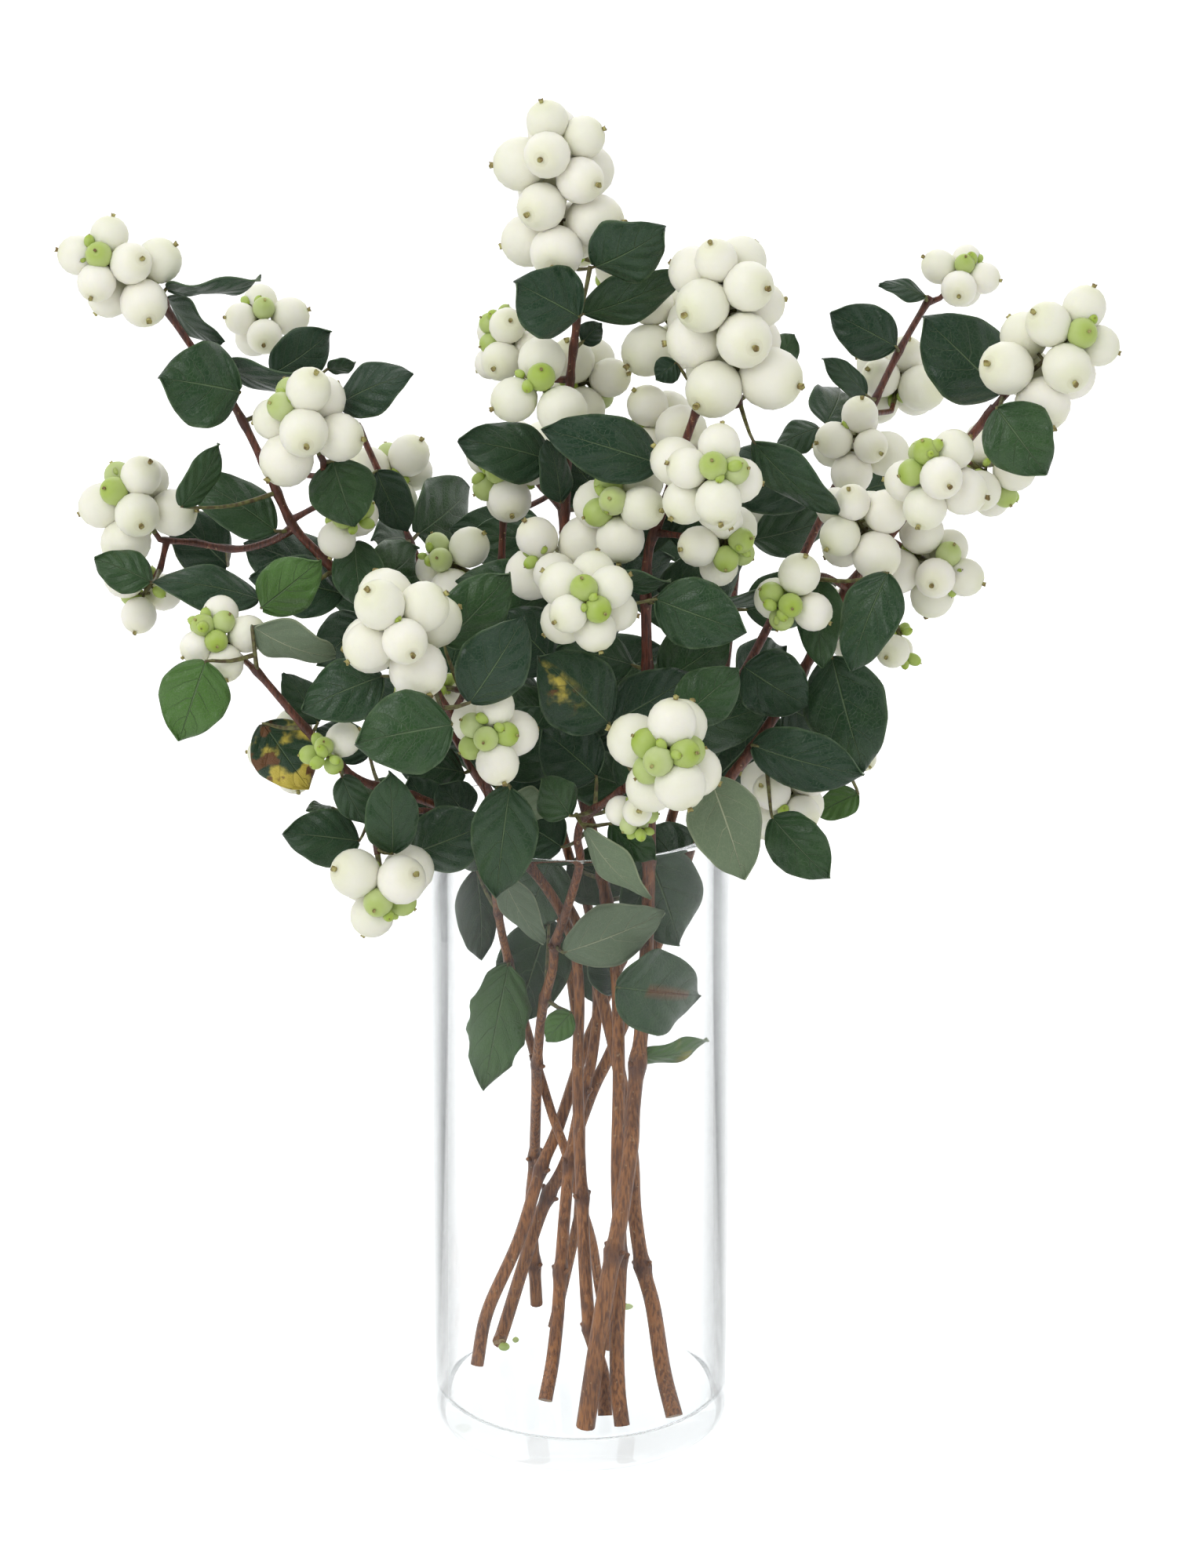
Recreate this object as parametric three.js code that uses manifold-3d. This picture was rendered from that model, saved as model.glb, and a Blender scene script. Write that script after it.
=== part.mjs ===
// Cut snowberry stems with leaves and berry bunches, standing in a clear glass cylinder vase.
// Millimetres, +Z up. The origin is the middle of the vase's underside.
import * as THREE from "three";
import { mergeVertices } from "three/addons/utils/BufferGeometryUtils.js";
import Module from "manifold-3d";

const wasm = await Module();
wasm.setup();

// Driving dimensions of the vase
const VASE = {
  radius: 45,
  height: 195,
  wall: 3,
  floor: 10,
  footRound: 4.5,
  rimRound: 1.2,
  sides: 24,
};

// Driving dimensions of the plant
const BLADE_THICKNESS = 0.8;
const SEAT_GAP = 0.3;
const FOOT_ROUNDS = 6;
const SLIVER = 0.2;
const BERRY_SLIVER = 0.4;
const STEM_SIDES = 5;
const STEM_STEP = 30;
const STEM_TAPER = 0.9;
const SPUR_RADIUS = 0.9;
const SPUR_ROOT_RADIUS = 1.1;
const TWIG_END = 2.5;
const TWIG_SIDES = 3;
const LONG_TWIG = 20;
const TWIG_KNEE = 0.45;
const LIKING_FOR_BELOW = 0.5;
const STALK_WIDTH = 1.3;
const SHORT_STALK = 9;

// Berry bunches, in radii of a ripe berry unless the name says mm
const GREEN_SHARE = 0.6;
const BERRY_SPREAD = 0.07;
const BASE_SHARE = 1.06;
const TIP_SHARE = 0.8;
const PRESS = 1;
const PERCH = 0.3;
const CORE_RADIUS = 0.62;
const STALK_LENGTH = 1.0;
const FACETED_SWELL = 0.93;
const SMALL_BERRY_MM = 7.1;
const SMALL_SWELL = 1.1;
const LEAST_PERCH = 0.85;
const LOW_BERRY = 0.5;
const SETBACK = 0.47;
const CORE_OVERRUN = 0.2;
const TWIG_ROOM_MM = 1.6;
const SETTLE_ROUNDS = 40;

// Stalk length that gives every berry a seat: shares of its area taken by a berry, the ends and the side
const SEAT_AREA = 2.9;
const END_AREA = 12.8;
const SIDE_AREA = 7.85;
const LEAST_STALK = 0.3;

// Room that the pieces of different stems keep, in mm
const WOOD_ROOM = 0.45;
const BERRY_ROOM = 0.35;
const BLADE_ROOM = 1.2;
const BLADE_TO_BLADE = 4.4;
const ROOT_REACH = 6;
const BALL_STEP = 2.4;
const SHIFTS = [0, -4, 4, -8, 8, -12, 12, -16, 16, -20, 20, -25, 25, -30, 30, -36, 36];

// The view that the places below are named in: eye in mm, pitch in radians, the rest in its points
const VIEW = { x: 2.4, y: -1200, z: 580, pitch: 0.303216, focal: 5396.1, across: 750, down: 999.5 };

// Stems. A route is a list of [across, down, depth behind the vase's axis in mm], from the foot up.
const STEMS = [
  {
    name: "stem_crown",
    thick: 4.9,
    thin: 2.1,
    foot: [792, 1816],
    route: [
      [787, 1769, -29], [786, 1705, -25], [790, 1603, -21], [787, 1496, -17], [789, 1369, -13],
      [785, 1240, -8], [765, 1110, -5], [738, 1000, -3], [716, 900, -1], [718, 780, 0],
      [720, 660, 1], [726, 494, 0], [735, 395, -1], [722, 335, -2],
    ],
  },
  {
    name: "stem_right_centre",
    thick: 5.8,
    thin: 2.3,
    foot: [746, 1818],
    route: [
      [760, 1721, -32], [773, 1641, -32], [787, 1570, -31], [803, 1466, -28], [806, 1417, -25],
      [812, 1362, -22], [819, 1300, -19], [826, 1180, -15], [828, 1060, -13], [826, 900, -14],
      [824, 727, -16], [841, 660, -18], [875, 559, -22], [892, 512, -24],
    ],
  },
  {
    name: "stem_left_long",
    thick: 5.2,
    thin: 2,
    foot: [857, 1804],
    route: [
      [844, 1747, -20], [832, 1667, -16], [819, 1616, -13], [809, 1546, -9], [806, 1480, -6],
      [795, 1400, -3], [778, 1320, 0], [745, 1210, 3], [700, 1130, 4], [652, 1060, 4],
      [575, 930, 4], [480, 790, 2], [420, 720, 0], [375, 672, -2], [345, 610, -2],
      [300, 520, -3], [250, 450, -4], [210, 392, -5],
    ],
  },
  {
    name: "stem_left_low",
    thick: 4.4,
    thin: 2.1,
    foot: [771, 1804],
    route: [
      [768, 1753, -21], [752, 1695, -19], [745, 1609, -16], [742, 1530, -13], [739, 1482, -11],
      [736, 1369, -9], [738, 1273, -9], [728, 1200, -10], [690, 1130, -14], [625, 1062, -20],
      [540, 1020, -29], [460, 995, -38], [417, 959, -43], [383, 921, -47], [344, 875, -51],
      [322, 850, -53],
    ],
  },
  {
    name: "stem_left_centre",
    thick: 4.5,
    thin: 2.1,
    foot: [695, 1785],
    route: [
      [704, 1737, -10], [711, 1674, -7], [714, 1625, -4], [720, 1546, 0], [726, 1488, 3],
      [736, 1433, 6], [744, 1398, 8], [755, 1356, 10], [762, 1280, 12], [752, 1180, 14],
      [722, 1080, 17], [690, 960, 22], [655, 850, 27], [640, 740, 31], [642, 650, 33],
    ],
  },
  {
    name: "stem_right_back",
    thick: 4.4,
    thin: 2,
    foot: [605, 1742],
    route: [
      [618, 1676, 13], [659, 1587, 15], [688, 1498, 17], [710, 1448, 19], [742, 1356, 21],
      [765, 1302, 22], [797, 1228, 23], [835, 1120, 23], [866, 1012, 24], [915, 915, 30],
      [968, 820, 39], [1021, 713, 50], [1075, 600, 60], [1120, 500, 67], [1150, 440, 71],
      [1186, 378, 74],
    ],
  },
  {
    name: "stem_far_right",
    thick: 4.6,
    thin: 2.6,
    foot: [633, 1714],
    route: [
      [641, 1692, 27], [679, 1577, 22.5], [698, 1531, 20.5], [720, 1491, 18], [755, 1400, 14],
      [777, 1356, 12], [812, 1280, 9], [850, 1190, 6], [885, 1095, 4], [900, 1040, 2],
      [930, 992, -1], [964, 948, -4], [1029, 845, -8], [1080, 751, -10], [1111, 713, -11],
      [1164, 644, -13], [1241, 552, -16], [1268, 520, -17],
    ],
  },
  {
    name: "stem_front",
    thick: 4.2,
    thin: 2.2,
    route: [
      [682, 1668, 36.2], [679, 1619, 34.5], [674, 1546, 31], [679, 1484, 25], [682, 1401, 12],
      [683, 1364, 6], [691, 1292, -4], [704, 1241, -12], [707, 1209, -16], [720, 1171, -21],
      [739, 1104, -29], [736, 1069, -34], [744, 1043, -39], [768, 1025, -47], [795, 1006, -57],
    ],
  },
  {
    name: "stem_back_left",
    thick: 3.7,
    thin: 2,
    foot: [704, 1697],
    route: [
      [711, 1669, 36], [733, 1578, 32], [738, 1546, 31], [740, 1450, 30], [738, 1356, 31],
      [725, 1250, 31], [706, 1150, 31], [690, 1060, 31], [655, 960, 38], [600, 850, 49],
      [545, 740, 60], [500, 640, 68], [455, 540, 71],
    ],
  },
  {
    name: "stem_front_left",
    thick: 3.3,
    thin: 2.1,
    foot: [778, 1722],
    route: [
      [764, 1645, 19], [755, 1590, 16], [740, 1540, 12.5], [720, 1474, 11.5], [704, 1433, 14.5],
      [690, 1390, 17], [676, 1345, 16], [655, 1270, 9], [637, 1195, -2], [628, 1120, -17],
      [624, 1060, -29], [622, 1010, -37], [612, 968, -43], [580, 918, -53], [545, 865, -61],
    ],
  },
];

// Side branches, each grown from a stem and one piece with it
const BRANCHES = [
  {
    stem: "stem_right_back",
    thick: 2.8,
    thin: 2,
    route: [[915, 915, 30], [925, 850, 46], [935, 760, 68], [945, 660, 86]],
  },
  {
    stem: "stem_left_centre",
    thick: 2.8,
    thin: 2,
    route: [[690, 960, 22], [705, 880, 40], [720, 770, 64], [715, 640, 84]],
  },
  {
    stem: "stem_left_long",
    thick: 2.4,
    thin: 1.9,
    route: [[375, 672, -2], [345, 690, 4], [300, 700, 10], [240, 690, 12]],
  },
  {
    stem: "stem_far_right",
    thick: 2.8,
    thin: 2,
    route: [[1029, 845, -8], [1010, 900, 6], [1035, 880, 24], [1070, 800, 40]],
  },
];

// Bunches: place of the middle, direction of the tip, berries, ripe berry's width in mm, unripe ones
const BUNCHES = [
  ["front_left", "stem_front_left", [505, 798, -76], [-30, -50, -20], 8, 15.5, 0],
  ["front_big", "stem_front", [850, 962, -84], [10, -10, -50], 11, 14.5, 5],
  ["centre_front", "stem_right_centre", [748, 768, -64], [-10, -10, -50], 9, 13, 2],
  ["right_front", "stem_right_centre", [908, 606, -56], [40, -20, -20], 10, 13.5, 2],
  ["right_centre_tip", "stem_right_centre", [928, 400, -28], [-8, -60, -2], 13, 16, 0],
  ["crown", "stem_crown", [711, 228, -6], [-4, -60, -2], 13, 15.8, 0],
  ["left_tip", "stem_left_long", [143, 340, -8], [-60, -35, -6], 10, 12.8, 1],
  ["far_right_tip", "stem_far_right", [1350, 442, -20], [50, -45, -2], 11, 14.8, 1],
  ["left_front_top", "stem_left_long", [382, 528, -28], [-30, -60, -6], 9, 14, 2],
  ["centre_left", "stem_front_left", [625, 930, -68], [10, -60, -12], 8, 12, 4],
  ["front_low_left", "stem_front_left", [490, 1142, -64], [10, 60, -6], 7, 14, 2],
  ["centre_green", "stem_right_centre", [784, 640, -34], [-40, -30, -14], 7, 14, 3],
  ["right_front_low", "stem_right_centre", [932, 694, -40], [50, 10, -10], 7, 12.5, 3],
  ["right_b", "stem_far_right", [1186, 596, -36], [-10, -55, -8], 9, 13, 3],
  ["left_upper", "stem_left_long", [166, 634, 2], [-35, -50, -6], 9, 14, 2],
  ["left_low", "stem_left_low", [272, 806, -50], [-50, -45, -8], 9, 11, 4],
  ["right_low", "stem_far_right", [1000, 770, -36], [-30, 30, -10], 6, 12, 3],
  ["right_d", "stem_far_right", [1092, 662, -26], [-30, -45, -8], 7, 13, 0],
  ["right_e", "stem_far_right", [1196, 724, -10], [50, 30, -6], 8, 13, 1],
  ["left_back_top", "stem_back_left", [330, 402, 50], [-40, -60, 0], 6, 11.5, 1],
  ["left_middle", "stem_left_long", [446, 660, -12], [40, 20, -10], 5, 12, 2],
  ["left_low_back", "stem_left_long", [180, 762, 8], [-20, 30, 4], 4, 12, 1],
  ["front_left_back", "stem_front_left", [540, 872, -42], [-60, -10, 6], 4, 12.5, 1],
  ["middle_back", "stem_left_centre", [560, 714, 12], [-50, -20, -4], 5, 12.5, 2],
  ["crown_below", "stem_crown", [757, 336, 10], [20, 10, 4], 2, 16, 0],
  ["crown_left", "stem_crown", [642, 426, 4], [-20, -60, 2], 10, 10.5, 4],
  ["crown_right", "stem_crown", [756, 486, 16], [60, -14, 6], 6, 14, 1],
  ["crown_low", "stem_crown", [684, 490, -12], [-40, -30, -8], 4, 13.5, 1],
  ["left_inner", "stem_left_centre", [636, 606, 10], [-50, -10, -4], 7, 13.5, 2],
  ["back_top", "stem_left_centre", [652, 566, 82], [-30, -50, 10], 5, 12.5, 0],
  ["centre_side", "stem_right_centre", [698, 712, -44], [-50, -20, -10], 4, 14.5, 0],
  ["right_centre_back", "stem_right_centre", [848, 406, -2], [-30, -50, 6], 5, 14, 0],
  ["right_upper", "stem_right_centre", [838, 540, 4], [-40, -10, 0], 4, 14, 0],
  ["right_under", "stem_far_right", [1000, 1022, -26], [-10, 40, -10], 6, 13, 0],
  ["right_back_tip", "stem_right_back", [1232, 346, 76], [50, -50, 0], 6, 10.5, 1],
  ["right_back_middle", "stem_right_back", [1148, 476, 80], [10, -40, 10], 7, 13, 0],
  ["right_a", "stem_right_back", [1092, 556, 34], [0, -50, -8], 7, 12.5, 0],
  ["right_c", "stem_far_right", [1272, 612, 4], [50, 30, 6], 7, 12.5, 1],
  ["right_f", "stem_far_right", [1150, 826, -6], [10, 40, 0], 2, 9, 0],
  ["right_g", "stem_far_right", [1096, 956, -2], [30, 20, 0], 2, 9, 0],
  ["left_under", "stem_left_low", [364, 966, -18], [-20, 30, 8], 4, 11, 0],
  ["left_green", "stem_left_low", [414, 962, -60], [10, 20, -20], 4, 9.5, 3],
  ["sprig_low", "stem_front", [812, 1046, -72], [4, 40, -2], 5, 8.5, 3],
  ["back_left", "stem_back_left", [500, 600, 86], [-10, -40, 30], 6, 13, 1],
  ["back_right", "stem_right_back", [950, 630, 96], [10, -40, 20], 6, 13.5, 1],
  ["back_centre", "stem_left_centre", [740, 730, 88], [20, -10, 50], 6, 14, 1],
  ["back_low", "stem_back_left", [615, 800, 74], [-10, 10, 50], 5, 13, 1],
  ["back_right_low", "stem_far_right", [1075, 780, 56], [10, -30, 30], 5, 12.5, 1],
];

// Leaves by stem: base and tip as [across, down, depth], width in mm, roll about the midrib in degrees
const LEAVES = {
  stem_left_long: [
    [[212, 368, -6], [333, 354, -14], 15, 72],
    [[214, 380, -10], [284, 438, -20], 14, 55],
    [[306, 500, -6], [202, 482, -12], 27, 8],
    [[283, 464, -10], [440, 496, -16], 16, 60],
    [[418, 470, -2], [453, 462, -4], 7, 40],
    [[348, 476, 10], [422, 422, 18], 17, 20],
    [[432, 516, -14], [527, 476, -20], 17, -25],
    [[424, 587, -56], [452, 672, -58], 21, 5],
    [[480, 600, -8], [520, 678, -12], 15, 20],
    [[231, 646, -8], [279, 565, -2], 12, 35],
    [[351, 677, -12], [238, 606, -6], 18, 20],
    [[290, 722, -14], [214, 655, -18], 19, 10],
    [[192, 742, 2], [120, 712, 6], 14, 15],
    [[330, 764, -24], [194, 742, -28], 16, 30],
    [[333, 775, -36], [408, 714, -42], 18, 5],
    [[422, 738, 6], [310, 692, 10], 22, 20],
    [[452, 690, -8], [462, 778, -10], 17, 10],
    [[470, 790, 14], [404, 848, 16], 18, 10],
    [[520, 850, 16], [470, 770, 18], 18, 10],
    [[556, 905, 14], [588, 800, 12], 20, 10],
    [[600, 960, 12], [566, 870, 10], 18, 15],
  ],
  stem_left_low: [
    [[458, 1072, -48], [360, 1062, -52], 18, 5],
    [[322, 798, -48], [428, 836, -38], 17, 48],
    [[262, 843, -50], [228, 945, -54], 21, 0],
    [[335, 922, -52], [394, 1006, -52], 20, 0],
    [[405, 922, -26], [360, 858, -22], 13, 25],
    [[436, 990, -44], [468, 1052, -42], 12, 20],
    [[424, 1030, -36], [390, 1034, -40], 9, 60],
    [[470, 962, -26], [402, 928, -22], 14, 20],
    [[560, 1062, -16], [520, 990, -14], 18, 15],
    [[520, 1030, -35], [452, 1010, -25], 16, 30],
    [[640, 1100, -4], [580, 1060, 4], 20, 15],
  ],
  stem_front_left: [
    [[488, 862, -56], [384, 906, -60], 20, 12],
    [[576, 924, -64], [452, 948, -70], 25, 5],
    [[500, 1088, -62], [496, 984, -66], 17, 10],
    [[524, 1088, -52], [630, 1046, -56], 21, 8],
    [[650, 1003, -62], [633, 1144, -60], 20, 5],
    [[566, 820, -46], [650, 730, -46], 20, 10],
    [[598, 896, -50], [668, 786, -50], 21, 10],
    [[600, 1118, 8], [606, 1234, 10], 18, -25],
    [[646, 1238, 1], [614, 1396, 1], 22, 0],
    [[640, 1114, -28], [694, 1206, -24], 12, 30],
    [[596, 1046, -40], [560, 1000, -46], 16, 20],
    [[640, 990, -26], [700, 900, -22], 24, 10],
    [[648, 1020, -36], [708, 1034, -36], 14, 40],
    [[630, 950, -20], [600, 880, -14], 18, 10],
  ],
  stem_front: [
    [[726, 1040, -50], [690, 992, -54], 14, 10],
    [[776, 922, -46], [686, 836, -50], 25, 5],
    [[866, 916, -52], [942, 852, -52], 18, 5],
    [[776, 922, -56], [882, 858, -44], 19, 15],
    [[905, 992, -76], [948, 1122, -78], 22, -8],
    [[746, 1056, -56], [830, 1146, -60], 15, 52],
    [[778, 1050, -66], [836, 1096, -66], 12, 20],
    [[718, 1218, -14], [848, 1166, -10], 19, 15],
    [[698, 1186, 21], [654, 1316, 21], 25, 0],
    [[728, 1296, -2], [696, 1332, -4], 10, 10],
    [[760, 990, -38], [690, 930, -34], 22, 10],
    [[800, 1020, -30], [870, 930, -22], 24, 10],
  ],
  stem_right_centre: [
    [[836, 764, -50], [952, 806, -56], 21, 5],
    [[832, 768, -42], [1002, 750, -34], 15, 70],
    [[760, 736, -52], [856, 740, -58], 13, 62],
    [[824, 1090, -8], [868, 1212, -4], 28, -10],
    [[784, 1258, -39], [892, 1272, -12], 26, 0],
    [[814, 1350, -23], [904, 1328, -14], 12, 55],
    [[842, 592, -36], [690, 546, -42], 20, 5],
    [[960, 562, -33], [1070, 654, -28], 16, 38],
    [[986, 466, -14], [1012, 426, -10], 11, 20],
    [[862, 462, 12], [836, 484, 12], 9, 10],
    [[790, 1270, 2], [746, 1212, -2], 14, 35],
    [[850, 960, -8], [930, 900, 0], 22, 10],
    [[842, 870, -2], [930, 810, 4], 22, 10],
    [[818, 1010, 0], [740, 960, 4], 23, 10],
    [[812, 900, -2], [730, 850, 2], 23, 10],
  ],
  stem_crown: [
    [[758, 340, -16], [848, 292, -26], 22, 20],
    [[742, 400, -6], [874, 346, -14], 16, 25],
    [[738, 404, -24], [656, 360, -30], 23, 5],
    [[742, 436, 2], [766, 412, 6], 8, 0],
    [[714, 640, 4], [696, 560, 8], 12, 30],
    [[770, 640, 6], [716, 576, 4], 18, 15],
    [[708, 694, 10], [598, 680, 6], 17, 10],
    [[708, 850, -6], [640, 780, -8], 23, 10],
    [[720, 930, 2], [790, 850, 6], 23, 10],
    [[724, 1110, 8], [806, 1140, 12], 24, 10],
    [[716, 1080, 12], [650, 1040, 16], 20, 10],
    [[704, 1098, -6], [670, 1196, 8], 20, 10],
    [[876, 1124, 16], [824, 1050, -2], 22, 10],
  ],
  stem_right_back: [
    [[1142, 442, 68], [1058, 398, 66], 18, 5],
    [[1180, 378, 72], [1120, 363, 70], 9, 45],
    [[1104, 504, 62], [1048, 457, 58], 10, 30],
    [[1044, 546, 44], [988, 572, 44], 12, 30],
    [[758, 1208, 31], [764, 1298, 33], 17, 5],
  ],
  stem_far_right: [
    [[1276, 502, -22], [1176, 404, -24], 27, 5],
    [[1270, 520, -31], [1334, 606, -37], 22, 0],
    [[1044, 736, -40], [1048, 852, -44], 15, 15],
    [[1132, 730, -34], [1084, 856, -38], 19, 15],
    [[1060, 836, -14], [1102, 984, -18], 26, 8],
    [[958, 950, -16], [1102, 988, -22], 20, 15],
    [[1094, 1012, 2], [1040, 1040, 0], 11, 20],
    [[948, 850, -14], [1030, 900, -16], 22, 10],
    [[905, 1000, 8], [980, 920, 14], 23, 10],
    [[1000, 900, 4], [1068, 930, 10], 18, 15],
    [[984, 1042, -30], [1058, 1120, -38], 18, 10],
  ],
};

// Leaf pairs that fill the heart and the back: stem, heights in mm, turn of the pair in degrees
const PAIRS = [
  ["stem_left_centre", [204, 222, 240, 258, 276], -30],
  ["stem_back_left", [206, 225, 243, 262], 12],
  ["stem_right_back", [204, 222, 240, 258, 278, 300], -10],
  ["stem_crown", [206, 224, 242, 260, 280, 302], -20],
  ["stem_right_centre", [206, 224, 244, 264, 284], -40],
  ["stem_left_long", [206, 224, 242, 262], -15],
];
const PAIR_LENGTH = 34;
const PAIR_SHRINK = 0.36;
const PAIR_WIDTH = 24;
const PAIR_STEP = 50;
const PAIR_RISE = 0.25;
const PAIR_STALK = 4.5;
const PAIR_ROLL = 20;
const PAIR_SWING = 1.5;
const FIRST_LEAF_SEED = 100;

// Shape of a blade: where its rows lie along the midrib, and how far it bends out of flat
const BLADE_ROWS = [0.17, 0.47, 0.78];
const SHORT_BLADE = 32;
const PAIR_ROWS = [0.3, 0.7];
const BLADE_ARCH = 0.09;
const BLADE_FOLD = 0.16;
const BLADE_WAVE = 0.07;
const BLADE_NOTCH = 0.09;
const OUTLINE_SKEW = 0.8;
const OUTLINE_FULLNESS = 0.75;
const WAVES = 3.2;
const BALL_ROWS = [0.06, 0.18, 0.3, 0.42, 0.54, 0.66, 0.78, 0.9, 1];
const BALL_COLUMNS = [-0.9, -0.45, 0, 0.45, 0.9];

const GOLDEN_ANGLE = Math.PI * (3 - Math.sqrt(5));
const UP = new THREE.Vector3(0, 0, 1);
const RIGHT = new THREE.Vector3(1, 0, 0);
const NEARLY_UP = 0.9;

const BARK = { color: 0x6b4030, roughness: 0.7, metalness: 0 };
const BERRY = { color: 0xf1f2e6, roughness: 0.45, metalness: 0 };
const GLASS = { color: 0xe8f2f4, roughness: 0.05, metalness: 0, transparent: true, opacity: 0.35 };

// A seeded stream of numbers from 0 to 1
function stream(seed) {
  let state = seed >>> 0;
  return () => {
    state = (state + 0x6d2b79f5) >>> 0;
    let mixed = Math.imul(state ^ (state >>> 15), state | 1);
    mixed ^= mixed + Math.imul(mixed ^ (mixed >>> 7), mixed | 61);
    return ((mixed ^ (mixed >>> 14)) >>> 0) / 4294967296;
  };
}

// The point seen at a spot of the view, at a depth behind the vase's axis
function place([across, down, depth]) {
  const angle = Math.atan((VIEW.down - down) / VIEW.focal) - VIEW.pitch;
  const run = depth - VIEW.y;
  const z = VIEW.z + run * Math.tan(angle);
  const range = run * Math.cos(VIEW.pitch) - (z - VIEW.z) * Math.sin(VIEW.pitch);
  return new THREE.Vector3(VIEW.x + ((across - VIEW.across) / VIEW.focal) * range, depth, z);
}

// A cut foot on the vase's floor at a spot of the view, raised so that its slanted edge stays clear
function footing([across, down], radius, above) {
  const angle = Math.atan((VIEW.down - down) / VIEW.focal) - VIEW.pitch;
  const onFloor = (lift) => place([across, down, (VASE.floor + lift - VIEW.z) / Math.tan(angle) + VIEW.y]);
  let foot = onFloor(SEAT_GAP);
  for (let round = 0; round < FOOT_ROUNDS; round += 1) {
    const lean = above.clone().sub(foot).normalize();
    foot = onFloor(SEAT_GAP + radius * Math.hypot(lean.x, lean.y));
  }
  return foot;
}

function solidOf(positions, triangles) {
  return new wasm.Manifold(new wasm.Mesh({
    numProp: 3,
    vertProperties: Float32Array.from(positions),
    triVerts: Uint32Array.from(triangles),
  }));
}

function solidOfGeometry(geometry) {
  geometry.deleteAttribute("normal");
  geometry.deleteAttribute("uv");
  const merged = mergeVertices(geometry, 1e-4);
  return solidOf(merged.attributes.position.array, merged.index.array);
}

// A tapered rod through a list of points, each with its own radius
function rod(points, radii, sides) {
  const positions = [];
  const triangles = [];
  let side = RIGHT;
  points.forEach((point, i) => {
    const before = points[Math.max(i - 1, 0)];
    const after = points[Math.min(i + 1, points.length - 1)];
    const along = after.clone().sub(before).normalize();
    side = side.clone().addScaledVector(along, -side.dot(along)).normalize();
    const other = along.clone().cross(side);
    for (let k = 0; k < sides; k += 1) {
      const turn = (2 * Math.PI * k) / sides;
      const spot = point.clone().addScaledVector(side, radii[i] * Math.cos(turn));
      spot.addScaledVector(other, radii[i] * Math.sin(turn));
      positions.push(spot.x, spot.y, spot.z);
    }
  });
  for (let i = 0; i + 1 < points.length; i += 1) {
    for (let k = 0; k < sides; k += 1) {
      const next = (k + 1) % sides;
      const [a, b, c, d] = [i * sides + k, i * sides + next, (i + 1) * sides + next, (i + 1) * sides + k];
      triangles.push(a, b, c, a, c, d);
    }
  }
  const last = (points.length - 1) * sides;
  for (let k = 1; k + 1 < sides; k += 1) {
    triangles.push(0, k + 1, k);
    triangles.push(last, last + k, last + k + 1);
  }
  return solidOf(positions, triangles);
}

// A smooth route through hand-set points, one point or more to each span
function smoothRoute(points, step) {
  const curve = new THREE.CatmullRomCurve3(points, false, "catmullrom", 0.5);
  const route = [points[0].clone()];
  for (let i = 0; i + 1 < points.length; i += 1) {
    const parts = Math.max(1, Math.round(points[i].distanceTo(points[i + 1]) / step));
    for (let k = 1; k <= parts; k += 1) {
      route.push(curve.getPoint((i + k / parts) / (points.length - 1)));
    }
  }
  return route;
}

// Radii that narrow from a rod's foot to its tip
function taper(route, thick, thin, power) {
  return route.map((_, i) => (thick + (thin - thick) * (i / (route.length - 1)) ** power) / 2);
}

// Balls that stand for a rod when room is tested
function rodBalls(points, radii, owner) {
  const balls = [];
  for (let i = 0; i + 1 < points.length; i += 1) {
    const parts = Math.max(1, Math.ceil(points[i].distanceTo(points[i + 1]) / BALL_STEP));
    for (let k = 0; k < parts; k += 1) {
      const share = k / parts;
      const radius = radii[i] + (radii[i + 1] - radii[i]) * share;
      const at = points[i].clone().lerp(points[i + 1], share);
      balls.push({ at, room: radius + WOOD_ROOM, owner, kind: "wood" });
    }
  }
  return balls;
}

// How deep a ball reaches into the glass of the vase
function vaseBite(ball) {
  if (ball.at.z - ball.room > VASE.height) return 0;
  const reach = Math.hypot(ball.at.x, ball.at.y);
  const outside = VASE.radius + ball.room - reach;
  const inside = reach + ball.room - (VASE.radius - VASE.wall);
  const low = VASE.floor + ball.room - ball.at.z;
  return Math.max(0, Math.min(outside, Math.max(inside, low)));
}

// The pieces placed so far, and how far a new one would reach into them
const placed = [];
function bite(balls, root) {
  let total = 0;
  for (const ball of balls) {
    total += vaseBite(ball);
    for (const other of placed) {
      if (other.kind === "wood" && other.owner === ball.owner) {
        if (ball.kind === "wood" || other.at.distanceTo(root) < ROOT_REACH) continue;
      }
      const blades = ball.kind === "blade" && other.kind === "blade";
      const need = blades ? BLADE_TO_BLADE : ball.room + other.room;
      const gap = ball.at.distanceTo(other.at);
      if (gap < need) total += need - gap;
    }
  }
  return total;
}

// Place a piece at the first shift in depth that leaves it clear of everything placed before
function settle(make) {
  for (const shift of SHIFTS) {
    const piece = make(shift);
    if (bite(piece.balls, piece.root) === 0) {
      placed.push(...piece.balls);
      return piece;
    }
  }
  return null;
}

// The point of a stem's wood that a twig or leaf stalk grows from, with a liking for points below
function nearestWood(owner, target) {
  let best = null;
  let least = Infinity;
  for (const ball of placed) {
    if (ball.kind !== "wood" || ball.owner !== owner) continue;
    const cost = ball.at.distanceTo(target) + LIKING_FOR_BELOW * Math.max(0, ball.at.z - target.z);
    if (cost < least) {
      least = cost;
      best = ball.at;
    }
  }
  return best;
}

// A short twig that leaves the wood and arrives along a given direction
function twig(root, end, direction, steps) {
  const knee = end.clone().addScaledVector(direction, -TWIG_KNEE * root.distanceTo(end));
  const straight = end.clone().addScaledVector(direction, -TWIG_END);
  return [...new THREE.QuadraticBezierCurve3(root, knee, straight).getPoints(steps), end];
}

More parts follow.
